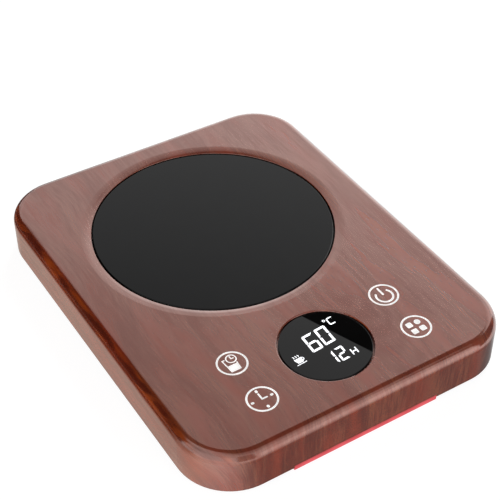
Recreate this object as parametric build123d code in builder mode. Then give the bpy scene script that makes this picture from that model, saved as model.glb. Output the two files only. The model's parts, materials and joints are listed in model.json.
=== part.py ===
from build123d import *
import os
from math import cos, radians, sin, tan

# Electric mug warmer: a low wood-grained body with a round glass heating plate,
# a round display and four touch icons. Its cover closes over a flat tray. The
# plate floats on three springs, so that a mug set on it presses a switch.
#
# All lengths are millimetres. X runs left to right across the front, +Y to the
# back and +Z up. The origin is on the table, under the middle of the body.

# ------------------------------------------------------------ driving sizes
# Top of the body, from the front edge to the back edge
front_margin = 11.75  # cover in front of the display
lens_radius = 16.8
lens_gap = 0.45  # gap round the display lens
display_gap = 12.35  # cover between the display and the plate
plate_radius = 47.0  # glass heating plate
plate_gap = 0.5  # gap round the plate
back_margin = 13.4  # cover behind the plate
side_margin = 17.5  # cover left and right of the plate

# Cover shell
corner_radius = 20.8
edge_round = 3.8
wall = 2.2
cover_top = 2.4
dish_width = 3.9  # shallow dish round the plate
dish_depth = 0.7
dish_lip_round = 0.2
lens_mouth_round = 0.4

# Heights, from the table up
foot_height = 1.0  # what the feet show under the tray
cover_lift = 1.0  # shadow gap from the tray's underside to the cover's rim
tray_floor = 1.8
switch_height = 5.6
plunger_stand = 1.2  # plunger above the switch, with no mug on the plate
pusher_length = 1.5
carrier_floor = 1.2
pad_thickness = 1.6
spreader_thickness = 0.8
element_thickness = 0.6
glass_thickness = 2.6
plate_recess = 0.7  # glass below the top of the cover
plate_travel = 0.8
stop_gap = 0.1  # carrier flange under the cover, plate up

# Plate carrier
glass_round = 0.4
glass_fit = 0.1
glass_seat = 4.0  # width of the ledge under the glass
carrier_wall = 1.4
flange_reach = 3.5  # flange hidden under the cover
flange_height = 2.0
seal_width = 3.0
seal_height = 0.4
pad_inset = 0.5  # the layers under the glass are smaller than its ledge
spreader_inset = 1.0
element_inset = 2.0

# Guide posts and springs of the plate
post_ring = 36.0
post_count = 3
post_radius = 2.0
post_fit = 0.08
post_foot_gap = 0.3  # under a post, plate pressed
guide_height = 4.0
guide_wall = 1.4
spring_wire = 0.6
spring_turns = 4

# Microswitch under the plate
switch_ahead = 18.0  # plunger in front of the plate's centre
switch_length = 12.8
switch_width = 5.8
plunger_offset = 2.5
plunger_radius = 0.9
plunger_fit = 0.05
plunger_depth = 2.5
plunger_round = 0.3
plunger_spare = 0.2  # bore under the pressed plunger
pusher_radius = 1.5
terminal_pitch = 4.7
terminal_length = 2.2
terminal_count = 3
terminal_width = 1.2
terminal_thickness = 0.6
terminal_height = 1.6

# Sensor, fuse and wires
sensor_x = 14.0
sensor_radius = 2.5
sensor_reach = 1.2  # sensor cap below the carrier
sensor_pitch = 1.6
sensor_gap = 0.2  # round the sensor cap
fuse_x = -16.0
fuse_radius = 1.9
fuse_length = 10.0
fuse_round = 0.5
fuse_tail = 9.0  # from the fuse's centre back to its link wire
heater_feed_x = -8.0
heater_feed_ahead = 32.0
strap_thickness = 0.5
strap_width = 4.0
strap_foot = 4.5
clip_screw_radius = 0.8
clip_head_radius = 1.4
clip_head_height = 0.8
wire_radius = 0.6
wire_bend = 2.0
wire_kink = 1.0  # bend where a wire slopes to its terminal
wire_slope = 4.0  # length of such a slope
wire_end = 2.0  # straight stretch into the terminal
link_bend = 1.2
wire_hole_gap = 0.5

# Tray
tray_fit = 0.2
rim_wall = 1.2
rim_height = 3.0
rim_relief = 2.0  # the rim stops this far from the light bar and the inlet
pocket_gap = 0.2  # between a fence and what stands in it
boss_inset = 11.2
tray_boss_radius = 4.6
tray_boss_height = 2.2
foot_radius = 6.0
foot_seat = 0.8
underside_fit = 0.1  # round the feet and the label
foot_round = 0.4
foot_inset_x = 25.0
foot_inset_y = 23.5
vent_length = 20.0
vent_width = 2.2
vent_pitch = 6.0
vent_count = 5
vent_x = 38.0
vent_y = 9.4  # middle of the vents behind the plate's centre
label_length = 44.0
label_width = 24.0
label_thickness = 0.15
label_seat = 0.2
fence_wall = 1.2
fence_height = 1.2

# Screws that hold the tray to the cover
cover_screw_radius = 1.35
cover_head_radius = 2.6
cover_head_height = 1.5
cover_head_sink = 0.7
cover_screw_reach = 8.0
cover_boss_radius = 3.4
thread_fit = 0.03
pilot_spare = 0.4  # pilot hole past the screw's end
shank_gap = 0.25
head_gap = 0.4
drive_length = 3.0
drive_width = 0.7
drive_depth = 0.9

# Display
lens_thickness = 1.2
lens_sink = 0.3
lens_round = 0.3
lens_ledge = 2.3
module_gap = 0.4
digit_depth = 0.15
digit_slant = 7.0  # degrees
readout_turn = 4.5  # degrees, the readout on its lens

# Touch icons
icon_x = 32.5
icon_spread = 9.7  # rows in front of and behind the display's centre
icon_radius = 5.7
icon_ring = 0.72
icon_line = 0.65
icon_depth = 0.4

# Control board
board_thickness = 1.6
board_drop = 4.8  # from the cover's underside
board_side = 11.5  # beyond the icons
board_front_gap = 7.0
board_rear_gap = 2.5
board_screw_inset = 4.2
board_screw_radius = 1.0
board_head_radius = 1.9
board_head_height = 1.2
board_screw_reach = 4.0
board_drive_length = 2.0
board_hole_gap = 0.2
standoff_radius = 2.8
touch_radius = 4.0
touch_wire = 0.5
touch_turns = 5

# Parts under the control board
connector_height = 5.0
connector_depth = 6.0
connector_inset = 0.5
connector_margin = 1.6  # housing beyond its outer wires
connector_chamfer = 0.5
chip_size = 9.0
chip_height = 1.6
chip_bevel = 0.4
chip_pins = 8
chip_pin_pitch = 0.8
chip_pin_width = 0.35
chip_pin_reach = 1.0
chip_x = -20.0
chip_ahead = 4.5  # behind the display's centre
buzzer_radius = 4.5
buzzer_height = 5.0
buzzer_hole = 0.9
buzzer_hole_depth = 2.5
buzzer_x = 22.0
buzzer_ahead = 9.5  # in front of the display's centre
capacitor_radius = 3.1
capacitor_round = 0.4
capacitor_length = 11.0
capacitor_ahead = 11.5
transistor_length = 6.5
transistor_width = 6.0
transistor_height = 2.3
transistor_x = 20.0
transistor_ahead = 6.5

# Light bar in the front edge
bar_length = 60.0
bar_x = -1.6  # a little left of the middle
bar_drop = 0.5  # below the tray
bar_strip = 2.4  # height of the glowing strip
bar_foot = 5.0
bar_depth = 8.0
bar_height = 3.2  # above the tray's floor
bar_fit = 0.15
bar_notch_gap = 0.05
bar_round = 0.5
light_board_thickness = 1.0
light_board_height = 6.0
light_board_inset = 2.0
led_count = 5
led_pitch = 12.0
led_length = 3.0
led_height = 2.0
led_depth = 0.9
led_gap = 0.15
brace_count = 3
brace_pitch = 24.0
brace_width = 1.6
brace_height = 5.0
light_wire_x = 11.0
light_wire_pitch = 1.6

# Direct-current inlet in the back wall
inlet_x = 38.0
inlet_width = 9.4
inlet_depth = 13.0
inlet_height = 10.0
nose_radius = 4.0
nose_gap = 0.15
nose_sink = 0.2
socket_radius = 2.85
socket_depth = 9.5
pin_radius = 1.0
pin_sink = 1.0
pin_round = 0.3
inlet_fence = 3.0
clamp_width = 1.6
clamp_length = 8.0
clamp_gap = 0.1
supply_x = 30.0  # supply wires at the control board
supply_turn = 16.0  # where they turn aside, behind the connector
supply_bend = 5.0
supply_pitch = 3.2
rest_width = 6.0
rest_depth = 2.0
rest_places = (12.0, 50.0)

# ------------------------------------------------------------ derived sizes
plate_opening = plate_radius + plate_gap
lens_opening = lens_radius + lens_gap
body_width = 2 * (plate_opening + side_margin)
body_length = front_margin + 2 * lens_opening + display_gap + 2 * plate_opening + back_margin
front_y = -body_length / 2
back_y = body_length / 2
plate_y = back_y - back_margin - plate_opening
lens_y = front_y + front_margin + lens_opening

tray_z = foot_height
floor_z = tray_z + tray_floor
rim_z = tray_z + cover_lift
switch_top_z = floor_z + switch_height
pusher_z = switch_top_z + plunger_stand
carrier_z = pusher_z + pusher_length
pad_z = carrier_z + carrier_floor
spreader_z = pad_z + pad_thickness
element_z = spreader_z + spreader_thickness
glass_z = element_z + element_thickness
top_z = glass_z + glass_thickness + plate_recess
cavity_z = top_z - cover_top
flange_top_z = cavity_z - stop_gap

flange_radius = plate_opening + flange_reach
seat_radius = plate_radius - glass_seat
guide_bore = post_radius + post_fit
guide_radius = guide_bore + guide_wall
guide_z = floor_z + guide_height
post_foot_z = floor_z + plate_travel + post_foot_gap
post_angles = [90 + 360 / post_count * turn for turn in range(post_count)]
post_spots = [
    (post_ring * cos(radians(angle)), plate_y + post_ring * sin(radians(angle)))
    for angle in post_angles
]

board_top_z = cavity_z - board_drop
board_z = board_top_z - board_thickness
board_half = icon_x + board_side
board_front = front_y + wall + board_front_gap
board_rear = plate_y - flange_radius - board_rear_gap
board_middle = (board_front + board_rear) / 2
board_screw_x = board_half - board_screw_inset
board_spots = [
    (x, y)
    for x in (-board_screw_x, board_screw_x)
    for y in (board_front + board_screw_inset, board_rear - board_screw_inset)
]
connector_y = board_rear - connector_inset - connector_depth / 2
wire_start_y = board_rear - connector_inset
wire_z = board_z - connector_height / 2

boss_x = body_width / 2 - boss_inset
boss_y = body_length / 2 - boss_inset
boss_z = floor_z + tray_boss_height
boss_spots = [(x, y) for x in (-boss_x, boss_x) for y in (-boss_y, boss_y)]
foot_x = body_width / 2 - foot_inset_x
foot_y = body_length / 2 - foot_inset_y
foot_spots = [(x, y) for x in (-foot_x, foot_x) for y in (-foot_y, foot_y)]
tray_width = body_width - 2 * (wall + tray_fit)
tray_length = body_length - 2 * (wall + tray_fit)
tray_corner = corner_radius - wall - tray_fit

plunger_y = plate_y - switch_ahead
switch_x = -plunger_offset
switch_front_y = plunger_y - switch_width / 2
terminal_z = floor_z + terminal_height
feed_y = plate_y - heater_feed_ahead
sensor_z = carrier_z - sensor_reach
fuse_z = carrier_z - fuse_radius
inlet_back_y = back_y - wall - tray_fit
inlet_front_y = inlet_back_y - inlet_depth
inlet_z = floor_z + inlet_height / 2
clip_riser = sensor_x + sensor_radius + sensor_gap
clip_end = clip_riser + strap_thickness + strap_foot
strap_half = fuse_radius + strap_thickness
clip_screw_spots = [
    (clip_end - strap_foot / 2, plate_y),
    (fuse_x - strap_half - strap_foot / 2, plate_y),
    (fuse_x + strap_half + strap_foot / 2, plate_y),
]
icon_rows = (lens_y + icon_spread, lens_y - icon_spread)
bar_z = tray_z - bar_drop
bar_back_y = front_y + bar_depth
light_board_y = bar_back_y + led_gap


# ------------------------------------------------------------ shared helpers
def coil(mean_radius, wire, length, turns):
    """One coil spring standing on the XY plane."""
    rise = length - wire
    with BuildPart() as spring:
        with BuildLine():
            centre = Helix(rise / turns, rise, mean_radius, center=(0, 0, wire / 2))
        with BuildSketch(Plane(origin=centre @ 0, z_dir=centre % 0)):
            Circle(wire / 2)
        sweep(is_frenet=True)
    return spring.part


def wire_run(points, bend=wire_bend):
    """One round wire along straight runs joined by tangent arcs, into the open part."""
    with BuildLine():
        route = FilletPolyline(*points, radius=bend)
    with BuildSketch(Plane(origin=route @ 0, z_dir=route % 0)) as section:
        Circle(wire_radius)
    sweep(section.sketch, path=route)


def rounds(spots, height, radius, length, mode=Mode.ADD):
    """Round posts up from one height in the open part, or holes with Mode.SUBTRACT."""
    with BuildSketch(Plane.XY.offset(height)) as circles:
        with Locations(*spots):
            Circle(radius)
    extrude(circles.sketch, amount=length, mode=mode)


def cross_recesses(spots, height, length):
    """Cross recesses for a screwdriver, cut up into screw heads in the open part."""
    with BuildSketch(Plane.XY.offset(height)) as crosses:
        with Locations(*spots):
            Rectangle(length, drive_width)
            Rectangle(drive_width, length)
    extrude(crosses.sketch, amount=drive_depth, mode=Mode.SUBTRACT)


def line_bar(start, end, width):
    """A round-ended stroke along X or Y between two points, in the open sketch."""
    (x0, y0), (x1, y1) = start, end
    with Locations(((x0 + x1) / 2, (y0 + y1) / 2)):
        RectangleRounded(abs(x1 - x0) + width, abs(y1 - y0) + width, width * stroke_round)


# ------------------------------------------------------------ touch icons
stroke_round = 0.45  # corner radius of a stroke, as a share of its width
power_ring = 3.6
power_line = 0.8
power_drop = 0.55
power_opening = 45.0
power_bar = 4.2
tile_offset = 1.76
tile_size = 2.4
tile_round = 0.5
tick_count = 4
tick_reach = 3.8
tick_length = 1.25
tick_width = 0.95
minute_hand = 2.5
hour_hand = 1.9
timer_x = 0.75
timer_y = 2.05
timer_radius = 2.05
timer_margin = 0.35
timer_minute = 1.2
timer_hour = 0.9
glass_line = 0.46
glass_top = 2.7
glass_foot = -3.7
glass_level = -0.6
glass_top_half = 2.5
glass_foot_half = 2.0
glass_shift = -0.3


def icon_outline():
    """The ring round an icon, in the open sketch."""
    Circle(icon_radius)
    Circle(icon_radius - icon_ring, mode=Mode.SUBTRACT)


def power_glyph():
    """A broken ring with a bar through its opening."""
    reach = power_ring * tan(radians(power_opening))
    with Locations((0, -power_drop)):
        Circle(power_ring)
        Circle(power_ring - power_line, mode=Mode.SUBTRACT)
        Polygon((0, 0), (reach, power_ring), (-reach, power_ring), mode=Mode.SUBTRACT)
    with Locations((0, power_bar / 2)):
        RectangleRounded(power_line, power_bar, power_line * stroke_round)


def menu_glyph():
    """Three rounded tiles and a dot."""
    with Locations(
        (-tile_offset, tile_offset),
        (-tile_offset, -tile_offset),
        (tile_offset, -tile_offset),
    ):
        RectangleRounded(tile_size, tile_size, tile_round)
    with Locations((tile_offset, tile_offset)):
        Circle(tile_size / 2)


def clock_glyph():
    """Four ticks and two hands."""
    with PolarLocations(tick_reach, tick_count):
        RectangleRounded(tick_length, tick_width, tick_width * stroke_round)
    line_bar((0, 0), (0, minute_hand), icon_line)
    line_bar((0, 0), (hour_hand, 0), icon_line)


def cup_glyph():
    """A glass that holds a drink, with a small clock in front of its rim."""
    foot, top = glass_foot_half, glass_top_half
    level = foot + (top - foot) * (glass_level - glass_foot) / (glass_top - glass_foot)
    with Locations((glass_shift, 0)):
        Polygon((-foot, glass_foot), (foot, glass_foot), (top, glass_top), (-top, glass_top))
        Polygon(
            (glass_line - level, glass_level),
            (level - glass_line, glass_level),
            (top - glass_line, glass_top - glass_line),
            (glass_line - top, glass_top - glass_line),
            mode=Mode.SUBTRACT,
        )
    with Locations((timer_x, timer_y)):
        Circle(timer_radius + timer_margin, mode=Mode.SUBTRACT)
        Circle(timer_radius)
        Circle(timer_radius - glass_line, mode=Mode.SUBTRACT)
    line_bar((timer_x, timer_y), (timer_x, timer_y + timer_minute), glass_line)
    line_bar((timer_x, timer_y), (timer_x + timer_hour, timer_y), glass_line)


icons = {
    "power_icon": (icon_x, icon_rows[0], power_glyph),
    "menu_icon": (icon_x, icon_rows[1], menu_glyph),
    "cup_icon": (-icon_x, icon_rows[0], cup_glyph),
    "clock_icon": (-icon_x, icon_rows[1], clock_glyph),
}


def icon_sketch(x, y, glyph):
    """An icon's printed shape on the top of the cover."""
    with BuildSketch(Plane((x, y, top_z))) as shape:
        icon_outline()
        glyph()
    return shape.sketch


icon_shapes = {name: icon_sketch(*place) for name, place in icons.items()}

# ------------------------------------------------------------ display readout
# Each group of signs: its middle from the display's centre, its size and stroke
tens_place = (-2.9, 3.85)
ones_place = (2.8, 4.05)
large_digit = (4.7, 8.5, 0.95)
hours_tens_place = (-2.2, -6.35)
hours_ones_place = (2.2, -6.4)
small_digit = (3.5, 6.4, 0.78)
unit_place = (9.1, 8.5)
unit_letter = (2.5, 3.6, 0.52)
hours_place = (6.4, -8.05)
hours_letter = (2.5, 2.8, 0.48)
letter_cut = 1.5  # cut corners of a letter, in strokes
degree_place = (7.0, 9.85)
degree_radius = 0.6
degree_line = 0.28
segment_gap = 0.14
mug_place = (-12.0, -0.4)
mug_width = 3.2
mug_foot = 2.2
mug_height = 2.2
mug_handle = 0.8
mug_handle_y = 0.2
mug_line = 0.32
saucer_width = 4.2
saucer_gap = 0.55
steam_length = 0.55
steam_sway = 0.28
steam_gap = 0.45
steam_places = (-0.95, 0.0, 0.95)

segments_of = {"0": "abcdef", "1": "bc", "2": "abged", "6": "acdefg"}


def lean(place, points):
    """Slant a sign about its own middle and set it in place."""
    slope = tan(radians(digit_slant))
    return [(place[0] + x + y * slope, place[1] + y) for x, y in points]


def segment_points(width, height, stroke):
    """Corner points of the seven segments about the digit's middle."""
    w, h, s, g = width / 2, height / 2, stroke, segment_gap
    top = [(-w + g, h), (w - g, h), (w - s - g, h - s), (-w + s + g, h - s)]
    right = [(w, h - g), (w, g), (w - s / 2, g), (w - s, s / 2 + g), (w - s, h - s - g)]
    bar = s / 2
    middle = [
        (-w + bar + g, 0),
        (-w + s + g, bar),
        (w - s - g, bar),
        (w - bar - g, 0),
        (w - s - g, -bar),
        (-w + s + g, -bar),
    ]
    return {
        "a": top,
        "b": right,
        "c": [(x, -y) for x, y in right],
        "d": [(x, -y) for x, y in top],
        "e": [(-x, -y) for x, y in right],
        "f": [(-x, y) for x, y in right],
        "g": middle,
    }


def digit(sign, place, size):
    """The lit segments of one digit, in the open sketch."""
    outlines = segment_points(*size)
    for name in segments_of[sign]:
        Polygon(*lean(place, outlines[name]))


def letter_h(place, size):
    """The sign for hours: two uprights and a bar, in the open sketch."""
    width, height, stroke = size
    w, h, s = width / 2, height / 2, stroke
    for side in (-w, w - s):
        Polygon(*lean(place, [(side, -h), (side + s, -h), (side + s, h), (side, h)]))
    Polygon(*lean(place, [(-w, -s / 2), (w, -s / 2), (w, s / 2), (-w, s / 2)]))


def letter_c(place, size):
    """The sign for degrees Celsius, with its corners cut off, in the open sketch."""
    width, height, stroke = size
    w, h, s, cut = width / 2, height / 2, stroke, letter_cut * stroke
    upper = [(w, h - s), (w, h), (s - w, h), (-w, h - s)]
    lower = [(x, -y) for x, y in reversed(upper)]
    inner = [(cut - w, s - h), (s - w, cut - h), (s - w, h - cut), (cut - w, h - s)]
    Polygon(*lean(place, upper + lower + inner))


def mug_glyph():
    """A small steaming mug on its saucer, the sign for a warm drink."""
    x, y = mug_place
    top = mug_height / 2
    with Locations((x + (mug_width + mug_foot) / 4, y + mug_handle_y)):
        Circle(mug_handle)
        Circle(mug_handle - mug_line, mode=Mode.SUBTRACT)
    sides = [(-mug_width / 2, top), (-mug_foot / 2, -top), (mug_foot / 2, -top), (mug_width / 2, top)]
    Polygon(*[(x + dx, y + dy) for dx, dy in sides])
    with Locations((x, y - top - saucer_gap)):
        Rectangle(saucer_width, mug_line)
    for place in steam_places:
        foot = y + top + steam_gap
        for start, lean_x in ((foot, steam_sway), (foot + steam_length, -steam_sway)):
            left = x + place - (mug_line + lean_x) / 2
            right = left + lean_x
            end = start + steam_length
            Polygon((left, start), (left + mug_line, start), (right + mug_line, end), (right, end))


# ------------------------------------------------------------ wood-grained cover
with BuildPart() as top_cover:
    with BuildSketch(Plane.XY.offset(rim_z)):
        RectangleRounded(body_width, body_length, corner_radius)
    extrude(amount=top_z - rim_z)
    fillet(top_cover.faces().sort_by(Axis.Z)[-1].edges(), edge_round)
    with BuildSketch(Plane.XY.offset(rim_z)):
        RectangleRounded(body_width - 2 * wall, body_length - 2 * wall, corner_radius - wall)
    extrude(amount=cavity_z - rim_z, mode=Mode.SUBTRACT)
    # screw bosses, board standoffs and the rib that holds the inlet down
    rounds(boss_spots, boss_z, cover_boss_radius, cavity_z - boss_z)
    rounds(board_spots, board_top_z, standoff_radius, board_drop)
    clamp_z = floor_z + inlet_height + clamp_gap
    with BuildSketch(Plane.XY.offset(clamp_z)):
        with Locations((inlet_x, inlet_back_y - inlet_depth / 2)):
            Rectangle(clamp_width, clamp_length)
    extrude(amount=cavity_z - clamp_z)
    # round opening for the plate, at the foot of a shallow dish
    rounds([(0, plate_y)], top_z, plate_opening, -cover_top, Mode.SUBTRACT)
    lip_z = top_z - dish_depth
    dish_edge = (plate_opening + dish_width, top_z)
    dish_lip = (plate_opening, lip_z)
    with BuildSketch(Plane((0, plate_y, 0), x_dir=(1, 0, 0), z_dir=(0, -1, 0))) as dish:
        with BuildLine():
            TangentArc(dish_edge, dish_lip, tangent=(-1, 0))
            Polyline(dish_lip, (plate_opening, top_z), dish_edge)
        make_face()
    revolve(dish.sketch, axis=Axis((0, plate_y, 0), (0, 0, 1)), mode=Mode.SUBTRACT)
    circles = top_cover.edges().filter_by(GeomType.CIRCLE)
    fillet(circles.sort_by_distance((0, plate_y, lip_z))[0], dish_lip_round)
    # round opening for the display, with its ledge
    rounds([(0, lens_y)], top_z, lens_opening, -lens_thickness - lens_sink, Mode.SUBTRACT)
    rounds([(0, lens_y)], top_z, lens_opening - lens_ledge, -cover_top, Mode.SUBTRACT)
    top_edges = top_cover.edges().group_by(Axis.Z)[-1]
    fillet(top_edges.sort_by_distance((0, lens_y, top_z))[0], lens_mouth_round)
    # shallow pockets that take the icons
    for shape in icon_shapes.values():
        add(shape)
        extrude(amount=-icon_depth, mode=Mode.SUBTRACT)
    # pilot holes of the screws
    cover_pilot = cover_screw_radius + thread_fit
    rounds(boss_spots, boss_z, cover_pilot, cover_screw_reach + pilot_spare, Mode.SUBTRACT)
    board_pilot = board_screw_radius + thread_fit
    rounds(board_spots, board_top_z, board_pilot, board_screw_reach + pilot_spare, Mode.SUBTRACT)
    # notch over the light bar and hole for the inlet's nose
    notch_z = bar_z + bar_strip + bar_notch_gap
    with BuildSketch(Plane.XY.offset(notch_z)):
        with Locations((bar_x, front_y + wall / 2)):
            Rectangle(bar_length + 2 * bar_fit, wall + 2 * bar_fit)
    extrude(amount=rim_z - notch_z, mode=Mode.SUBTRACT)
    with BuildSketch(Plane.XZ.offset(-back_y)):
        with Locations((inlet_x, inlet_z)):
            Circle(nose_radius + nose_gap)
    extrude(amount=wall, mode=Mode.SUBTRACT)

# ------------------------------------------------------------ base tray
with BuildPart() as base_tray:
    with BuildSketch(Plane.XY.offset(tray_z)):
        RectangleRounded(tray_width, tray_length, tray_corner)
    extrude(amount=tray_floor)
    # locating rim inside the cover's wall, open at the light bar and the inlet
    with BuildSketch(Plane.XY.offset(floor_z)):
        RectangleRounded(tray_width, tray_length, tray_corner)
        inner_width = tray_width - 2 * rim_wall
        inner_length = tray_length - 2 * rim_wall
        RectangleRounded(inner_width, inner_length, tray_corner - rim_wall, mode=Mode.SUBTRACT)
        rim_opening = 2 * (rim_wall + rim_relief)
        with Locations((bar_x, -tray_length / 2)):
            Rectangle(bar_length + 2 * rim_relief, rim_opening, mode=Mode.SUBTRACT)
        with Locations((inlet_x, tray_length / 2)):
            Rectangle(inlet_width + 2 * rim_relief, rim_opening, mode=Mode.SUBTRACT)
    extrude(amount=rim_height)
    # bosses under the cover's screw bosses
    rounds(boss_spots, floor_z, tray_boss_radius, tray_boss_height)
    # guides of the plate's posts
    with BuildSketch(Plane.XY.offset(floor_z)):
        with Locations(*post_spots):
            Circle(guide_radius)
            Circle(guide_bore, mode=Mode.SUBTRACT)
    extrude(amount=guide_height)
    # fences round the microswitch and the inlet
    with BuildSketch(Plane.XY.offset(floor_z)):
        with Locations((switch_x, plunger_y)):
            pocket_length = switch_length + 2 * pocket_gap
            pocket_width = switch_width + 2 * pocket_gap
            Rectangle(pocket_length + 2 * fence_wall, pocket_width + 2 * fence_wall)
            Rectangle(pocket_length, pocket_width, mode=Mode.SUBTRACT)
    extrude(amount=fence_height)
    with BuildSketch(Plane.XY.offset(floor_z)):
        bay_length = inlet_depth + pocket_gap
        bay_width = inlet_width + 2 * pocket_gap
        fence_width = bay_width + 2 * fence_wall
        from_back = (Align.CENTER, Align.MAX)
        with Locations((inlet_x, inlet_back_y)):
            Rectangle(fence_width, bay_length + fence_wall, align=from_back)
            Rectangle(bay_width, bay_length, align=from_back, mode=Mode.SUBTRACT)
    extrude(amount=inlet_fence)
    # braces behind the light board
    with BuildSketch(Plane.XY.offset(floor_z)):
        brace_y = light_board_y + light_board_thickness + led_gap
        with Locations((bar_x, brace_y + brace_width / 2)):
            with GridLocations(brace_pitch, 1, brace_count, 1):
                Rectangle(brace_width, brace_width)
    extrude(amount=brace_height)
    # rests that the supply wires lie in
    with BuildSketch(Plane.XY.offset(floor_z)):
        with Locations(*[(inlet_x, place) for place in rest_places]):
            Rectangle(rest_width, rest_depth)
    extrude(amount=wire_z - floor_z)
    with BuildSketch(Plane.XZ.offset(-inlet_front_y)):
        with Locations((inlet_x, wire_z)):
            with GridLocations(supply_pitch, 1, 2, 1):
                Circle(wire_radius)
    extrude(amount=inlet_front_y, mode=Mode.SUBTRACT)
    # screw holes with the heads sunk in the underside
    head_depth = cover_head_height + cover_head_sink
    rounds(boss_spots, tray_z, cover_screw_radius + shank_gap, boss_z - tray_z, Mode.SUBTRACT)
    rounds(boss_spots, tray_z, cover_head_radius + head_gap, head_depth, Mode.SUBTRACT)
    # seats of the feet and of the label, and the vent slots
    rounds(foot_spots, tray_z, foot_radius + underside_fit, foot_seat, Mode.SUBTRACT)
    with BuildSketch(Plane.XY.offset(tray_z)):
        Rectangle(label_length + 2 * underside_fit, label_width + 2 * underside_fit)
    extrude(amount=label_seat, mode=Mode.SUBTRACT)
    with BuildSketch(Plane.XY.offset(tray_z)):
        with Locations((-vent_x, plate_y + vent_y), (vent_x, plate_y + vent_y)):
            with GridLocations(vent_length, vent_pitch, 1, vent_count):
                SlotOverall(vent_length, vent_width)
    extrude(amount=tray_floor, mode=Mode.SUBTRACT)
    # notch in the front edge for the foot of the light bar
    with BuildSketch(Plane.XY.offset(tray_z)):
        with Locations((bar_x, front_y)):
            Rectangle(bar_length + 2 * bar_fit, 2 * (bar_foot + bar_fit))
    extrude(amount=tray_floor, mode=Mode.SUBTRACT)

# ------------------------------------------------------------ feet, label and screws
with BuildPart() as rubber_feet:
    rounds(foot_spots, 0, foot_radius, foot_height + foot_seat)
    fillet(rubber_feet.edges().group_by(Axis.Z)[0], foot_round)

with BuildPart() as rating_label:
    with BuildSketch(Plane.XY.offset(tray_z + label_seat)):
        Rectangle(label_length, label_width)
    extrude(amount=-label_thickness)

with BuildPart() as cover_screws:
    head_z = tray_z + cover_head_sink
    rounds(boss_spots, head_z, cover_head_radius, cover_head_height)
    shank_z = head_z + cover_head_height
    rounds(boss_spots, shank_z, cover_screw_radius, boss_z - shank_z + cover_screw_reach)
    cross_recesses(boss_spots, head_z, drive_length)

# ------------------------------------------------------------ display
lens_top_z = top_z - lens_sink

with BuildPart() as display_digits:
    readout_dir = Vector(1, 0, 0).rotate(Axis.Z, readout_turn)
    with BuildSketch(Plane((0, lens_y, lens_top_z), x_dir=readout_dir)):
        digit("6", tens_place, large_digit)
        digit("0", ones_place, large_digit)
        digit("1", hours_tens_place, small_digit)
        digit("2", hours_ones_place, small_digit)
        letter_c(unit_place, unit_letter)
        letter_h(hours_place, hours_letter)
        with Locations(degree_place):
            Circle(degree_radius)
            Circle(degree_radius - degree_line, mode=Mode.SUBTRACT)
        mug_glyph()
    extrude(amount=-digit_depth)

with BuildPart() as display_lens:
    rounds([(0, lens_y)], lens_top_z, lens_radius, -lens_thickness)
    fillet(display_lens.edges().group_by(Axis.Z)[-1], lens_round)
    add(display_digits.part, mode=Mode.SUBTRACT)

with BuildPart() as display_module:
    module_top_z = lens_top_z - lens_thickness
    module_radius = lens_opening - lens_ledge - module_gap
    rounds([(0, lens_y)], board_top_z, module_radius, module_top_z - board_top_z)

# ------------------------------------------------------------ touch icons
icon_parts = {}
for icon_name, icon_shape in icon_shapes.items():
    with BuildPart() as icon_part:
        add(icon_shape)
        extrude(amount=-icon_depth)
    icon_parts[icon_name] = icon_part

touch_coil = coil(touch_radius - touch_wire / 2, touch_wire, board_drop, touch_turns)
with BuildPart() as touch_springs:
    with Locations(Plane((0, lens_y, board_top_z))):
        with GridLocations(2 * icon_x, 2 * icon_spread, 2, 2):
            add(touch_coil)

# ------------------------------------------------------------ control board
with BuildPart() as control_board:
    with BuildSketch(Plane.XY.offset(board_z)):
        with Locations((0, board_middle)):
            Rectangle(2 * board_half, board_rear - board_front)
        with Locations(*board_spots):
            Circle(board_screw_radius + board_hole_gap, mode=Mode.SUBTRACT)
    extrude(amount=board_thickness)

with BuildPart() as board_screws:
    rounds(board_spots, board_z, board_head_radius, -board_head_height)
    rounds(board_spots, board_z, board_screw_radius, board_thickness + board_screw_reach)
    cross_recesses(board_spots, board_z - board_head_height, board_drive_length)

with BuildPart() as mcu_chip:
    with BuildSketch(Plane((chip_x, lens_y + chip_ahead, board_z))):
        Rectangle(chip_size, chip_size)
    extrude(amount=-chip_height)
    chamfer(mcu_chip.edges().group_by(Axis.Z)[0], chip_bevel)
    with BuildSketch(Plane((chip_x, lens_y + chip_ahead, board_z))):
        with GridLocations(chip_pin_pitch, 1, chip_pins, 1):
            Rectangle(chip_pin_width, chip_size + 2 * chip_pin_reach)
        with GridLocations(1, chip_pin_pitch, 1, chip_pins):
            Rectangle(chip_size + 2 * chip_pin_reach, chip_pin_width)
    extrude(amount=-chip_pin_width)

with BuildPart() as buzzer:
    buzzer_spot = (buzzer_x, lens_y - buzzer_ahead)
    rounds([buzzer_spot], board_z, buzzer_radius, -buzzer_height)
    rounds([buzzer_spot], board_z - buzzer_height, buzzer_hole, buzzer_hole_depth, Mode.SUBTRACT)

with BuildPart() as filter_capacitor:
    capacitor_end = (-capacitor_length / 2, lens_y - capacitor_ahead, board_z - capacitor_radius)
    with BuildSketch(Plane(capacitor_end, z_dir=(1, 0, 0))):
        Circle(capacitor_radius)
    extrude(amount=capacitor_length)
    fillet(filter_capacitor.edges().filter_by(GeomType.CIRCLE), capacitor_round)

with BuildPart() as power_transistor:
    with BuildSketch(Plane((transistor_x, lens_y + transistor_ahead, board_z))):
        Rectangle(transistor_length, transistor_width)
    extrude(amount=-transistor_height)
    chamfer(power_transistor.edges().group_by(Axis.Z)[0], chip_bevel)

# ------------------------------------------------------------ wires and their connectors
switch_wires = [switch_x, switch_x + terminal_pitch]
heater_wires = [fuse_x, heater_feed_x]
sensor_wires = [sensor_x - sensor_pitch / 2, sensor_x + sensor_pitch / 2]
supply_wires = [supply_x - supply_pitch / 2, supply_x + supply_pitch / 2]


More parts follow.
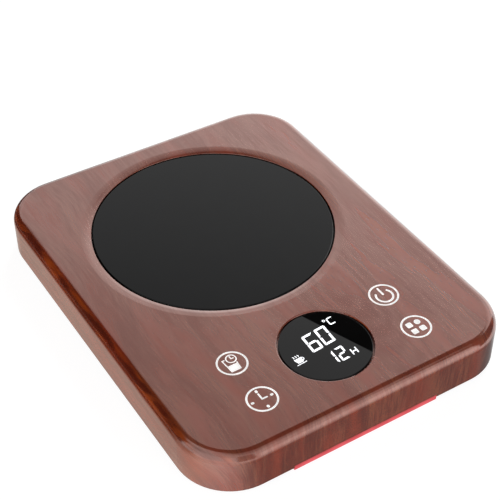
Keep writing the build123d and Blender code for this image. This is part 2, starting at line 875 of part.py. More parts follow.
def connector(wire_places):
    """A wire-to-board connector that hangs under the rear edge of the board."""
    width = max(wire_places) - min(wire_places) + 2 * connector_margin
    middle = (max(wire_places) + min(wire_places)) / 2
    with BuildPart() as housing:
        with BuildSketch(Plane((middle, connector_y, board_z))):
            Rectangle(width, connector_depth)
        extrude(amount=-connector_height)
        chamfer(housing.edges().group_by(Axis.Z)[0], connector_chamfer)
    return housing


heater_connector = connector(heater_wires)
switch_connector = connector(switch_wires)
sensor_connector = connector(sensor_wires)
supply_connector = connector(supply_wires)

# the heater's supply: one wire straight up to the heating element, the other
# through the thermal fuse
with BuildPart() as heater_lead:
    wire_run([
        (heater_feed_x, wire_start_y, wire_z),
        (heater_feed_x, feed_y, wire_z),
        (heater_feed_x, feed_y, element_z),
    ])

fuse_front_y = plate_y - fuse_length / 2
fuse_back_y = plate_y + fuse_length / 2
link_y = plate_y + fuse_tail

with BuildPart() as fuse_lead:
    wire_run(
        [
            (fuse_x, wire_start_y, wire_z),
            (fuse_x, fuse_front_y - wire_end - wire_slope, wire_z),
            (fuse_x, fuse_front_y - wire_end, fuse_z),
            (fuse_x, fuse_front_y, fuse_z),
        ],
        bend=wire_kink,
    )

with BuildPart() as fuse_link:
    wire_run(
        [(fuse_x, fuse_back_y, fuse_z), (fuse_x, link_y, fuse_z), (fuse_x, link_y, element_z)],
        bend=link_bend,
    )

sensor_front_y = plate_y - sensor_radius
with BuildPart() as sensor_leads:
    for wire_x in sensor_wires:
        wire_run([
            (wire_x, wire_start_y, wire_z),
            (wire_x, sensor_front_y - wire_end - wire_slope, wire_z),
            (wire_x, sensor_front_y - wire_end, sensor_z + wire_radius),
            (wire_x, sensor_front_y, sensor_z + wire_radius),
        ], bend=wire_kink)

terminal_y = switch_front_y - terminal_length
with BuildPart() as switch_leads:
    for wire_x in switch_wires:
        wire_run([
            (wire_x, wire_start_y, wire_z),
            (wire_x, terminal_y - wire_end - wire_slope, wire_z),
            (wire_x, terminal_y - wire_end, terminal_z),
            (wire_x, terminal_y, terminal_z),
        ], bend=wire_kink)

with BuildPart() as supply_leads:
    for offset in (-supply_pitch / 2, supply_pitch / 2):
        wire_run([
            (supply_x + offset, wire_start_y, wire_z),
            (supply_x + offset, wire_start_y + supply_turn - supply_bend, wire_z),
            (inlet_x + offset, wire_start_y + supply_turn + supply_bend, wire_z),
            (inlet_x + offset, inlet_front_y, wire_z),
        ], bend=supply_bend)

with BuildPart() as light_leads:
    light_wire_y = light_board_y + light_board_thickness
    light_wire_z = floor_z + light_board_height / 2
    for offset in (-light_wire_pitch / 2, light_wire_pitch / 2):
        wire_run([
            (light_wire_x + offset, light_wire_y, light_wire_z),
            (light_wire_x + offset, light_wire_y + wire_slope, light_wire_z),
            (light_wire_x + offset, light_wire_y + wire_slope, board_z),
        ], bend=wire_kink)

# ------------------------------------------------------------ light bar
with BuildPart() as light_bar:
    with BuildSketch(Plane.YZ.offset(bar_x - bar_length / 2)):
        Polygon(
            (front_y, bar_z),
            (front_y + bar_foot, bar_z),
            (front_y + bar_foot, floor_z),
            (bar_back_y, floor_z),
            (bar_back_y, floor_z + bar_height),
            (front_y + wall + bar_fit, floor_z + bar_height),
            (front_y + wall + bar_fit, bar_z + bar_strip),
            (front_y, bar_z + bar_strip),
        )
    extrude(amount=bar_length)
    fillet(light_bar.edges().filter_by(Axis.X).group_by(Axis.Y)[0].sort_by(Axis.Z)[0], bar_round)
    led_z = floor_z + bar_height / 2
    with BuildSketch(Plane.XZ.offset(-bar_back_y)):
        with Locations((bar_x, led_z)):
            with GridLocations(led_pitch, 1, led_count, 1):
                Rectangle(led_length + 2 * led_gap, led_height + 2 * led_gap)
    extrude(amount=led_depth, mode=Mode.SUBTRACT)

with BuildPart() as light_board:
    with BuildSketch(Plane.XZ.offset(-light_board_y - light_board_thickness)):
        with Locations((bar_x, floor_z + light_board_height / 2)):
            Rectangle(bar_length - 2 * light_board_inset, light_board_height)
    extrude(amount=light_board_thickness)

with BuildPart() as light_leds:
    with BuildSketch(Plane.XZ.offset(-light_board_y)):
        with Locations((bar_x, led_z)):
            with GridLocations(led_pitch, 1, led_count, 1):
                Rectangle(led_length, led_height)
    extrude(amount=led_depth)

# ------------------------------------------------------------ inlet
with BuildPart() as dc_jack:
    with BuildSketch(Plane((inlet_x, inlet_back_y - inlet_depth / 2, floor_z))):
        Rectangle(inlet_width, inlet_depth)
    extrude(amount=inlet_height)
    with BuildSketch(Plane.XZ.offset(-inlet_back_y)):
        with Locations((inlet_x, inlet_z)):
            Circle(nose_radius)
    extrude(amount=-(wall + tray_fit - nose_sink))
    with BuildSketch(Plane.XZ.offset(nose_sink - back_y)):
        with Locations((inlet_x, inlet_z)):
            Circle(socket_radius)
    extrude(amount=socket_depth, mode=Mode.SUBTRACT)

with BuildPart() as jack_pin:
    with BuildSketch(Plane.XZ.offset(nose_sink + pin_sink - back_y)):
        with Locations((inlet_x, inlet_z)):
            Circle(pin_radius)
    extrude(amount=socket_depth - pin_sink)
    fillet(jack_pin.edges().group_by(Axis.Y)[-1], pin_round)

# ------------------------------------------------------------ microswitch
with BuildPart() as microswitch:
    with BuildSketch(Plane((switch_x, plunger_y, floor_z))):
        Rectangle(switch_length, switch_width)
    extrude(amount=switch_height)
    bore_depth = plunger_depth + plate_travel + plunger_spare
    rounds([(0, plunger_y)], switch_top_z, plunger_radius + plunger_fit, -bore_depth, Mode.SUBTRACT)

with BuildPart() as microswitch_terminals:
    with BuildSketch(Plane.XZ.offset(-switch_front_y)):
        with Locations((switch_x, terminal_z)):
            with GridLocations(terminal_pitch, 1, terminal_count, 1):
                Rectangle(terminal_width, terminal_thickness)
    extrude(amount=terminal_length)

with BuildPart() as switch_plunger:
    plunger_length = plunger_depth + plunger_stand - plunger_fit
    rounds([(0, plunger_y)], switch_top_z - plunger_depth, plunger_radius, plunger_length)
    fillet(switch_plunger.edges().group_by(Axis.Z)[-1], plunger_round)

# ------------------------------------------------------------ springs of the plate
plate_coil = coil(guide_bore + guide_wall / 2, spring_wire, carrier_z - guide_z, spring_turns)
with BuildPart() as plate_springs:
    with Locations(*[(x, y, guide_z) for x, y in post_spots]):
        add(plate_coil)

# ------------------------------------------------------------ plate and its layers
plate_plane = Plane((0, plate_y, 0))
feed_holes = [(heater_feed_x, -heater_feed_ahead), (fuse_x, fuse_tail)]


def layer(height, thickness, inset, sensor_passes):
    """A round layer under the glass, with holes for the wires and the sensor."""
    with BuildPart() as disc:
        with BuildSketch(plate_plane.offset(height)):
            Circle(seat_radius - inset)
            with Locations(*feed_holes):
                Circle(wire_radius + wire_hole_gap, mode=Mode.SUBTRACT)
            if sensor_passes:
                with Locations((sensor_x, 0)):
                    Circle(sensor_radius + sensor_gap, mode=Mode.SUBTRACT)
        extrude(amount=thickness)
    return disc


with BuildPart() as glass_plate:
    with BuildSketch(plate_plane.offset(glass_z)):
        Circle(plate_radius)
    extrude(amount=glass_thickness)
    fillet(glass_plate.edges().group_by(Axis.Z)[-1], glass_round)

with BuildPart() as glass_seal:
    with BuildSketch(plate_plane.offset(glass_z)):
        Circle(seat_radius + (glass_seat + seal_width) / 2)
        Circle(seat_radius + (glass_seat - seal_width) / 2, mode=Mode.SUBTRACT)
    extrude(amount=-seal_height)

with BuildPart() as heating_element:
    with BuildSketch(plate_plane.offset(element_z)):
        Circle(seat_radius - element_inset)
    extrude(amount=element_thickness)

spreader_plate = layer(spreader_z, spreader_thickness, spreader_inset, False)
insulation_board = layer(pad_z, pad_thickness, pad_inset, True)

with BuildPart() as plate_carrier:
    skirt_radius = seat_radius + carrier_wall
    flange_z = flange_top_z - flange_height
    glass_well = plate_radius + glass_fit
    with BuildSketch(Plane((0, plate_y, 0), x_dir=(1, 0, 0), z_dir=(0, -1, 0))):
        Polygon(
            (0, carrier_z),
            (skirt_radius, carrier_z),
            (skirt_radius, flange_z),
            (flange_radius, flange_z),
            (flange_radius, flange_top_z),
            (glass_well, flange_top_z),
            (glass_well, glass_z),
            (seat_radius, glass_z),
            (seat_radius, pad_z),
            (0, pad_z),
        )
    revolve(axis=Axis((0, plate_y, 0), (0, 0, 1)))
    add(glass_seal.part, mode=Mode.SUBTRACT)
    rounds(post_spots, carrier_z, post_radius, post_foot_z - carrier_z)
    rounds([(0, plunger_y)], carrier_z, pusher_radius, -pusher_length)
    with BuildSketch(plate_plane.offset(carrier_z)):
        with Locations(*feed_holes):
            Circle(wire_radius + wire_hole_gap)
        with Locations((sensor_x, 0)):
            Circle(sensor_radius + sensor_gap)
    extrude(amount=carrier_floor, mode=Mode.SUBTRACT)
    clip_pilot = clip_screw_radius + thread_fit
    rounds(clip_screw_spots, carrier_z, clip_pilot, carrier_floor, Mode.SUBTRACT)

# ------------------------------------------------------------ sensor, fuse and their straps
with BuildPart() as thermistor:
    with BuildSketch(plate_plane.offset(sensor_z)):
        with Locations((sensor_x, 0)):
            Circle(sensor_radius)
    extrude(amount=spreader_z - sensor_z)

with BuildPart() as thermistor_clip:
    clip_start = sensor_x - sensor_radius
    with BuildSketch(Plane((0, plate_y + strap_width / 2, 0), x_dir=(1, 0, 0), z_dir=(0, -1, 0))):
        Polygon(
            (clip_start, sensor_z - strap_thickness),
            (clip_riser + strap_thickness, sensor_z - strap_thickness),
            (clip_riser + strap_thickness, carrier_z - strap_thickness),
            (clip_end, carrier_z - strap_thickness),
            (clip_end, carrier_z),
            (clip_riser, carrier_z),
            (clip_riser, sensor_z),
            (clip_start, sensor_z),
        )
    extrude(amount=strap_width)
    rounds(clip_screw_spots[:1], carrier_z, clip_pilot, -strap_thickness, Mode.SUBTRACT)

with BuildPart() as thermal_fuse:
    with BuildSketch(Plane.XZ.offset(-fuse_back_y)):
        with Locations((fuse_x, fuse_z)):
            Circle(fuse_radius)
    extrude(amount=fuse_length)
    fillet(thermal_fuse.edges().filter_by(GeomType.CIRCLE), fuse_round)

with BuildPart() as fuse_strap:
    with BuildSketch(Plane.XZ.offset(-plate_y - strap_width / 2)):
        with Locations((fuse_x, fuse_z)):
            Circle(strap_half)
            Rectangle(2 * strap_half, fuse_radius, align=(Align.CENTER, Align.MIN))
        foot_span = 2 * (strap_half + strap_foot)
        with Locations((fuse_x, carrier_z)):
            Rectangle(foot_span, strap_thickness, align=(Align.CENTER, Align.MAX))
        with Locations((fuse_x, fuse_z)):
            Circle(fuse_radius, mode=Mode.SUBTRACT)
            fuse_gap = 2 * fuse_radius
            Rectangle(fuse_gap, fuse_gap, align=(Align.CENTER, Align.MIN), mode=Mode.SUBTRACT)
        with Locations((fuse_x, carrier_z)):
            Rectangle(2 * strap_half, strap_half, align=(Align.CENTER, Align.MIN), mode=Mode.SUBTRACT)
    extrude(amount=strap_width)
    rounds(clip_screw_spots[1:], carrier_z, clip_pilot, -strap_thickness, Mode.SUBTRACT)

with BuildPart() as strap_screws:
    clip_head_z = carrier_z - strap_thickness
    rounds(clip_screw_spots, clip_head_z, clip_head_radius, -clip_head_height)
    rounds(clip_screw_spots, clip_head_z, clip_screw_radius, strap_thickness + carrier_floor)

# ------------------------------------------------------------ files
pieces = {
    "top_cover": top_cover,
    "base_tray": base_tray,
    "rubber_feet": rubber_feet,
    "rating_label": rating_label,
    "cover_screws": cover_screws,
    "display_lens": display_lens,
    "display_digits": display_digits,
    "display_module": display_module,
    **icon_parts,
    "touch_springs": touch_springs,
    "control_board": control_board,
    "board_screws": board_screws,
    "mcu_chip": mcu_chip,
    "buzzer": buzzer,
    "filter_capacitor": filter_capacitor,
    "power_transistor": power_transistor,
    "heater_connector": heater_connector,
    "switch_connector": switch_connector,
    "sensor_connector": sensor_connector,
    "supply_connector": supply_connector,
    "heater_lead": heater_lead,
    "fuse_lead": fuse_lead,
    "fuse_link": fuse_link,
    "sensor_leads": sensor_leads,
    "switch_leads": switch_leads,
    "supply_leads": supply_leads,
    "light_leads": light_leads,
    "light_bar": light_bar,
    "light_board": light_board,
    "light_leds": light_leds,
    "dc_jack": dc_jack,
    "jack_pin": jack_pin,
    "microswitch": microswitch,
    "microswitch_terminals": microswitch_terminals,
    "switch_plunger": switch_plunger,
    "plate_springs": plate_springs,
    "glass_plate": glass_plate,
    "glass_seal": glass_seal,
    "heating_element": heating_element,
    "spreader_plate": spreader_plate,
    "insulation_board": insulation_board,
    "plate_carrier": plate_carrier,
    "thermistor": thermistor,
    "thermistor_clip": thermistor_clip,
    "thermal_fuse": thermal_fuse,
    "fuse_strap": fuse_strap,
    "strap_screws": strap_screws,
}

os.makedirs("parts", exist_ok=True)
for name, piece in pieces.items():
    piece.part.label = name
    export_step(piece.part, f"parts/{name}.step")
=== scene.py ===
# %% [markdown]
# # A mug warmer in a plain studio
# This lesson dresses an electric mug warmer: a low body wrapped in wood-grained
# film, a round black glass plate that a mug stands on, a round display, four
# touch signs and a red light strip in the front edge.
#
# The solids come from a CAD model and already have their true shapes and joints.
# Loading them as a fixed frame, and giving each one a finish, keeps every size
# right. Building the shapes again here would only invite small errors.

# %% Load the frame
import json
import math

import bpy
from mathutils import Matrix, Vector

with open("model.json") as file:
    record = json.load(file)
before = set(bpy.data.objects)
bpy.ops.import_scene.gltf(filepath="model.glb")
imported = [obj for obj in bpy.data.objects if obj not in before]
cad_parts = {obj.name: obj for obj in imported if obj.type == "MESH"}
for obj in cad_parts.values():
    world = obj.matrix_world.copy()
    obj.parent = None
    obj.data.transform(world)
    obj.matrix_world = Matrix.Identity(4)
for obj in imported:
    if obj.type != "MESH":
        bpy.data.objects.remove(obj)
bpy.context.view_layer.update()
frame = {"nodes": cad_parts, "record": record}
solids = frame["nodes"]
slot_of = {part["node"]: part["material_slot"] for part in frame["record"]["subparts"]}

# %% [markdown]
# ## The camera
# A camera can be aimed by hand, or it can be set from a measured place and
# direction. Here both were measured, so the camera's own three axes go straight
# into its matrix. Its lens is long, which keeps the small body from looking wide.
# A small shift moves the picture in its frame without turning the camera.

# %% Place the camera
MM = 0.001
CAMERA_PLACE = Vector((-184.69, -300.37, 330.38)) * MM
CAMERA_LOOK = Vector((0.40411, 0.63487, -0.65851)).normalized()
CAMERA_RIGHT = Vector((0.84552, -0.53392, 0.00411))
LENS = 89.47  # millimetres, on a sensor 36 mm wide
SHIFT = (-0.01668, 0.00173)  # to the right and up, as shares of the picture's width

camera_data = bpy.data.cameras.new("studio_camera")
camera_data.sensor_width = 36.0
camera_data.lens = LENS
camera_data.shift_x, camera_data.shift_y = SHIFT
camera_data.clip_start = 0.01
camera = bpy.data.objects.new("studio_camera", camera_data)
bpy.context.scene.collection.objects.link(camera)
sideways = (CAMERA_RIGHT - CAMERA_LOOK * CAMERA_RIGHT.dot(CAMERA_LOOK)).normalized()
upward = sideways.cross(CAMERA_LOOK)
turn = Matrix((sideways, upward, -CAMERA_LOOK)).transposed()
camera.matrix_world = Matrix.Translation(CAMERA_PLACE) @ turn.to_4x4()
bpy.context.scene.camera = camera
bpy.context.scene.view_settings.view_transform = "Standard"
print("camera", round(CAMERA_PLACE.length, 3), "m from the origin, lens", LENS, "mm")

# %% [markdown]
# ## A bench for shader nodes
# Finishes are built from shader nodes. Placing and linking them one by one takes
# many lines, so a small helper does both: it places a node, and feeds each of its
# inputs with either a plain number or another node's output.

# %% The bench
class Bench:
    """Places nodes in one node tree and links them."""

    def __init__(self, tree):
        self.tree = tree

    def feed(self, socket, value):
        """Give an input a plain value or another node's output."""
        if isinstance(value, bpy.types.NodeSocket):
            self.tree.links.new(value, socket)
        elif value is not None:
            socket.default_value = value

    def place(self, kind, *values, **settings):
        """Place a node, change its settings and feed its inputs in their order."""
        item = self.tree.nodes.new(kind)
        for name, setting in settings.items():
            setattr(item, name, setting)
        for socket, value in zip(item.inputs, values):
            self.feed(socket, value)
        return item

    def math(self, operation, *values):
        """One sum on numbers."""
        return self.place("ShaderNodeMath", *values, operation=operation).outputs[0]

    def total(self, *values):
        """All the values added up."""
        result = values[0]
        for value in values[1:]:
            result = self.math("ADD", result, value)
        return result

    def scaled(self, value, factor):
        """A number times another."""
        return self.math("MULTIPLY", value, factor)

    def step(self, value, low, high, start=0.0, end=1.0):
        """A smooth change from start to end while the value goes from low to high."""
        item = self.place("ShaderNodeMapRange", value, low, high, start, end)
        item.interpolation_type = "SMOOTHSTEP"
        return item.outputs[0]

    def blend(self, share, first, second):
        """Two colours mixed by a share of the second."""
        item = self.place("ShaderNodeMix", data_type="RGBA")
        self.feed(item.inputs[0], share)
        self.feed(item.inputs[6], first)
        self.feed(item.inputs[7], second)
        return item.outputs[2]

    def split(self, vector):
        """The three parts of a vector."""
        return self.place("ShaderNodeSeparateXYZ", vector).outputs

    def join(self, x, y, z=0.0):
        """A vector from three numbers."""
        return self.place("ShaderNodeCombineXYZ", x, y, z).outputs[0]

    def stretch(self, vector, x, y, z):
        """A vector with each part scaled by its own number."""
        item = self.place("ShaderNodeVectorMath", vector, operation="MULTIPLY")
        self.feed(item.inputs[1], (x, y, z))
        return item.outputs[0]

    def in_lumps(self, vector, size):
        """A vector counted in lumps of one size, which another node may give."""
        item = self.place("ShaderNodeVectorMath", vector, operation="SCALE")
        self.feed(item.inputs["Scale"], self.math("DIVIDE", 1.0, size))
        return item.outputs[0]

    def distance(self, x, y):
        """How far a place lies from the middle, seen from above."""
        return self.place("ShaderNodeVectorMath", self.join(x, y), operation="LENGTH").outputs["Value"]

    def noise(self, vector, detail=2.0, roughness=0.5):
        """Soft noise from 0 to 1, one lump to each unit of the vector."""
        item = self.place("ShaderNodeTexNoise")
        self.feed(item.inputs["Vector"], vector)
        self.feed(item.inputs["Scale"], 1.0)
        self.feed(item.inputs["Detail"], detail)
        self.feed(item.inputs["Roughness"], roughness)
        return item.outputs[0]

    def place_mm(self):
        """Where a point of the object is, in millimetres. It stays with the piece as it moves."""
        here = self.place("ShaderNodeTexCoord").outputs["Object"]
        return self.stretch(here, 1 / MM, 1 / MM, 1 / MM)


print("bench ready")

# %% [markdown]
# ## Effects that many finishes share
# Moulded plastic has a fine even skin, handled surfaces carry faint smudges,
# drawn metal has streaks along its length, and every hard edge catches a little
# more wear than the faces beside it. These could be drawn again in each finish.
# A shader node group is built once instead, and each finish places it with its
# own numbers. A group puts out only masks, so that the shader itself stays in the
# material.

# %% Start a node group
def new_group(name, inputs, outputs):
    """An empty node group with named number inputs and outputs."""
    tree = bpy.data.node_groups.new(name, "ShaderNodeTree")
    for label, value in inputs.items():
        kind = "NodeSocketFloat" if isinstance(value, float) else "NodeSocketVector"
        tree.interface.new_socket(name=label, in_out="INPUT", socket_type=kind).default_value = value
    for label in outputs:
        tree.interface.new_socket(name=label, in_out="OUTPUT", socket_type="NodeSocketFloat")
    bench = Bench(tree)
    return bench, bench.place("NodeGroupInput").outputs, bench.place("NodeGroupOutput").inputs


# %% [markdown]
# ## Moulded skin
# A mould is etched before use, so the plastic comes out with fine bumps. Larger,
# weaker patches are where the melt cooled at different speeds. A picture of such a
# skin would repeat itself and stretch on the walls. Noise in the object's own
# space fits every part as it is.

# %% Moulded skin
FLOW_MARK = 9.0  # millimetres across one cooling patch

bench, given, result = new_group("moulded_skin", {"Grain": 0.35}, ("Skin", "Flow"))
spot = bench.place_mm()
bench.feed(result["Skin"], bench.noise(bench.in_lumps(spot, given["Grain"]), detail=3.0, roughness=0.6))
bench.feed(result["Flow"], bench.noise(bench.in_lumps(spot, FLOW_MARK), detail=1.0))
moulded_skin = bench.tree
print("group", moulded_skin.name)

# %% [markdown]
# ## Handling marks
# Fingers leave soft patches of grease, and wiping leaves hairlines in one
# direction. Painted on as a colour they would look like dirt. Here they are masks
# that only change how rough a glossy surface is, so they show where it mirrors.

# %% Handling marks
HAIRLINE = (1 / 9.0, 1 / 0.12, 1 / 9.0)  # one hairline is long along X and thin along Y

bench, given, result = new_group("handling_marks", {"Patch": 14.0}, ("Smudge", "Hairline"))
spot = bench.place_mm()
smears = bench.noise(bench.in_lumps(spot, given["Patch"]), detail=3.0)
bench.feed(result["Smudge"], bench.step(smears, 0.42, 0.72))
bench.feed(result["Hairline"], bench.step(bench.noise(bench.stretch(spot, *HAIRLINE)), 0.66, 0.78))
handling_marks = bench.tree
print("group", handling_marks.name)

# %% [markdown]
# ## Drawn metal
# Wire, sheet and turned caps show thin streaks along the way they were worked.
# Stretched noise gives them, and one input says how large a streak is along each
# axis, so that the same group serves a wire, a strap and a round cap.

# %% Drawn metal
bench, given, result = new_group("drawn_metal", {"Streak": (0.12, 3.0, 3.0)}, ("Streaks",))
lines = bench.place("ShaderNodeVectorMath", bench.place_mm(), given["Streak"], operation="DIVIDE")
bench.feed(result["Streaks"], bench.noise(lines.outputs[0], detail=4.0, roughness=0.65))
drawn_metal = bench.tree
print("group", drawn_metal.name)

# %% [markdown]
# ## Worn edges
# Edges rub first, so they are the first to turn pale or bright. They could be
# picked by hand on each mesh. It is easier to compare two normals: the true one,
# and one that is rounded off over a short reach. They differ only where the
# surface turns sharply, and how much they differ is a mask of the edges.

# %% Worn edges
bench, given, result = new_group("worn_edge", {"Reach": 0.25}, ("Edge",))
rounded = bench.place("ShaderNodeBevel", samples=6)
bench.feed(rounded.inputs["Radius"], bench.scaled(given["Reach"], MM))
true_normal = bench.place("ShaderNodeNewGeometry").outputs["Normal"]
likeness = bench.place("ShaderNodeVectorMath", rounded.outputs[0], true_normal, operation="DOT_PRODUCT")
bench.feed(result["Edge"], bench.step(likeness.outputs["Value"], 0.995, 0.86))
worn_edge = bench.tree
print("group", worn_edge.name)

# %% [markdown]
# ## From a finish to the solids
# The CAD record names a material slot for each solid. One material is made for
# each slot, and goes to every solid that names it. The solids' meshes stay as
# they are.

# %% Start and fit a finish
FINISHED = "_finish"  # keeps a finish's name apart from the plain colour that came with its slot


def new_finish(slot, **fixed):
    """A new material for a slot, its bench, and its shader's inputs with fixed values set."""
    material = bpy.data.materials.new(slot + FINISHED)
    material.use_nodes = True
    shader = material.node_tree.nodes["Principled BSDF"]
    for name, value in fixed.items():
        shader.inputs[name.replace("_", " ")].default_value = value
    return material, Bench(material.node_tree), shader.inputs


def use_group(bench, tree, **values):
    """Place a node group in a finish and give back its outputs."""
    item = bench.place("ShaderNodeGroup")
    item.node_tree = tree
    for name, value in values.items():
        bench.feed(item.inputs[name], value)
    return item.outputs


def relief(bench, shader, height, depth, strength=1.0):
    """Raise the surface by a height mask, to a depth in millimetres."""
    bump = bench.place("ShaderNodeBump")
    bench.feed(bump.inputs["Strength"], strength)
    bench.feed(bump.inputs["Distance"], depth * MM)
    bench.feed(bump.inputs["Height"], height)
    bench.feed(shader["Normal"], bump.outputs[0])


def shade(r, g, b):
    """An opaque colour."""
    return (r, g, b, 1.0)


def lightened(colour, factor):
    """A colour with its light multiplied."""
    return shade(*(part * factor for part in colour[:3]))


dressed = set()


def fit(material):
    """Give a finished material to every solid that names its slot."""
    worn = [name for name, slot in slot_of.items() if slot + FINISHED == material.name]
    for name in worn:
        for holder in solids[name].material_slots:
            holder.material = material
    dressed.update(worn)
    print(f"{material.name}: {', '.join(worn)}")


# %% [markdown]
# ## The wood-grained film
# The cover is moulded plastic wrapped in a printed and lacquered film. Real
# figured wood could be cut as a block of rings, but a film behaves otherwise: its
# print lies flat on the top and simply runs on down the walls. So each point is
# first traced back to where it lay on the flat film: the distance that it has
# dropped below the top is added on, in the direction that the wall faces.

# %% Where the film was flat
TOP = 18.6  # height of the cover's top

film = bpy.data.node_groups.new("wood_film", "ShaderNodeTree")
for label in ("Dark", "Heart", "Pale", "Blush", "Ember"):
    film.interface.new_socket(name=label, in_out="INPUT", socket_type="NodeSocketColor")
film.interface.new_socket(name="Print", in_out="OUTPUT", socket_type="NodeSocketColor")
for label in ("Fibre", "Lustre"):
    film.interface.new_socket(name=label, in_out="OUTPUT", socket_type="NodeSocketFloat")
bench = Bench(film)
given = bench.place("NodeGroupInput").outputs
result = bench.place("NodeGroupOutput").inputs

x, y, z = bench.split(bench.place_mm())
facing_x, facing_y, facing_up = bench.split(bench.place("ShaderNodeTexCoord").outputs["Normal"])
drop = bench.math("SUBTRACT", TOP, z)
across = bench.math("MULTIPLY_ADD", facing_x, drop, x)
along = bench.math("MULTIPLY_ADD", facing_y, drop, y)
print("film laid flat")

# %% [markdown]
# ## Growth, figure and fibres
# A plank shows three things at once: slow bands that wander along the grain,
# fine fibres that follow them, and short open pores. All three come from the same
# soft noise, stretched hard along the grain and bent by a slower noise, so that
# they wander together.

# %% Layers of the grain
def grain(width, length, layer, bend=None, detail=2.0):
    """Noise stretched along the grain: one lump's width and length in mm, in a layer of its own."""
    start = across if bend is None else bench.math("ADD", across, bend)
    flat = bench.join(bench.scaled(start, 1 / width), bench.scaled(along, 1 / length), layer)
    return bench.noise(flat, detail=detail)


wander = bench.scaled(bench.math("SUBTRACT", grain(42.0, 110.0, 1.0), 0.5), 16.0)
ripple = bench.scaled(bench.math("SUBTRACT", grain(11.0, 26.0, 2.0), 0.5), 3.0)
bend = bench.math("ADD", wander, ripple)
bands = grain(13.0, 70.0, 3.0, bend)
stripes = grain(2.0, 34.0, 4.0, bend, detail=3.0)
fibres = grain(0.55, 9.0, 5.0, bend, detail=3.0)
pores = bench.step(grain(0.36, 4.0, 6.0, bend, detail=1.0), 0.62, 0.74)
print("bands, stripes, fibres and pores")

# %% [markdown]
# ## A cathedral figure
# Where a saw meets the rings at a low angle, they show as nested arches. Rings
# round a far point, squeezed along the grain, give the same figure. It fades out
# with distance, so that it marks only one place on the top.

# %% Nested arches
FIGURE_PLACE = (20.0, -34.0)
FIGURE_REACH = 30.0
FIGURE_SHARE = 0.10  # of the whole tone
ARCH_GAP = 4.2

from_x = bench.math("SUBTRACT", bench.math("ADD", across, ripple), FIGURE_PLACE[0])
from_y = bench.scaled(bench.math("SUBTRACT", along, FIGURE_PLACE[1]), 0.45)
from_figure = bench.distance(from_x, from_y)
turns = bench.scaled(bench.math("ADD", from_figure, bend), 2 * math.pi / ARCH_GAP)
arches = bench.scaled(bench.math("SINE", turns), 0.5)
nearness = bench.step(from_figure, FIGURE_REACH, FIGURE_REACH * 0.2)
figure = bench.scaled(arches, bench.scaled(nearness, FIGURE_SHARE))
print("arches every", ARCH_GAP, "mm")

# %% [markdown]
# ## From tone to colour
# The layers are added up to one tone. A long gradient could turn it into a colour,
# but a few mixes in a row are easier to steer: from dark to pale, then towards a
# red heart where the tone is low, and then a slow blush that keeps its own course.
# On the walls the print is stronger than on the top, most of all on the two ends,
# where the grain turns down and looks cut across.

# %% Tone and base colours
END_CONTRAST = 1.2  # added on an end wall
SIDE_SHARE = 0.3  # a long wall's share of an end wall's contrast

tone = bench.total(
    bench.scaled(bands, 0.38),
    bench.scaled(stripes, 0.27),
    bench.scaled(fibres, 0.35),
    figure,
)
across_tilt = bench.math("ABSOLUTE", facing_x)
wall_share = bench.math("MAXIMUM", bench.math("ABSOLUTE", facing_y), bench.scaled(across_tilt, SIDE_SHARE))
contrast = bench.math("MULTIPLY_ADD", wall_share, END_CONTRAST, 1.0)
tone = bench.math("MULTIPLY_ADD", bench.math("SUBTRACT", tone, 0.5), contrast, 0.5)
print_and_shade_colour = bench.blend(bench.step(tone, 0.30, 0.70), given["Dark"], given["Pale"])
print_and_shade_colour = bench.blend(bench.step(tone, 0.62, 0.40, 0.0, 0.55), print_and_shade_colour, given["Heart"])
blush = grain(7.0, 42.0, 7.0, bend)
print_and_shade_colour = bench.blend(bench.step(blush, 0.40, 0.72), print_and_shade_colour, given["Blush"])
print("side walls have", SIDE_SHARE, "of the ends' contrast")

# %% [markdown]
# ## Flames along the edges
# A plank's rounded long edge cuts its growth at a low angle, which spreads the
# layers into dark and amber flames. The print copies that. One more noise leans a
# little across the edge and shows only there: where the surface tilts to a side,
# but isn't a wall yet. The dark flames also darken the rounded side edges as a
# whole, which is painted shade.

# %% Flames, pores and the group's results
FLAME_LEAN = 0.12  # millimetres across for each one along

rounding = bench.scaled(bench.step(across_tilt, 0.26, 0.46), bench.step(facing_up, 0.34, 0.60))
flames = grain(4.5, 20.0, 8.0, bench.math("MULTIPLY_ADD", along, FLAME_LEAN, bend))
# Dark flames: print, plus painted shade that darkens the rounded side edges as a whole.
dark_flames_and_shade = bench.scaled(rounding, bench.step(flames, 0.58, 0.42, 0.0, 0.85))
print_and_shade_colour = bench.blend(dark_flames_and_shade, print_and_shade_colour, given["Dark"])
ember_share = bench.scaled(rounding, bench.step(flames, 0.50, 0.68))
print_and_shade_colour = bench.blend(ember_share, print_and_shade_colour, given["Ember"])
pore_share = bench.scaled(pores, bench.math("MULTIPLY_ADD", wall_share, 0.4, 0.35))
print_and_shade_colour = bench.blend(pore_share, print_and_shade_colour, given["Dark"])
bench.feed(result["Print"], print_and_shade_colour)
bench.feed(result["Fibre"], bench.math("SUBTRACT", fibres, bench.scaled(pores, 0.5)))
bench.feed(result["Lustre"], bench.step(tone, 0.34, 0.66))
print("group", film.name)

# %% [markdown]
# ## The cover's finish
# The film covers only what shows. Inside, and on the cut walls of the two round
# openings, the cover is bare brown plastic. The outline of the body is a
# rectangle with rounded corners, and its signed distance tells the outer skin
# from the inner one. Light meets the film twice. The lacquer on top mirrors the
# room without a tint, and the print below it gives a softer, reddish reflection,
# which keeps the wood warm where the lacquer mirrors something white.

# %% Outer skin of the cover
BODY_HALF = (65.0, 83.5)
CORNER = 20.8
SKIN = 0.7  # how deep below the outline still counts as the outer skin
ROUND_LOW = 14.6  # where the rounded edge meets the wall


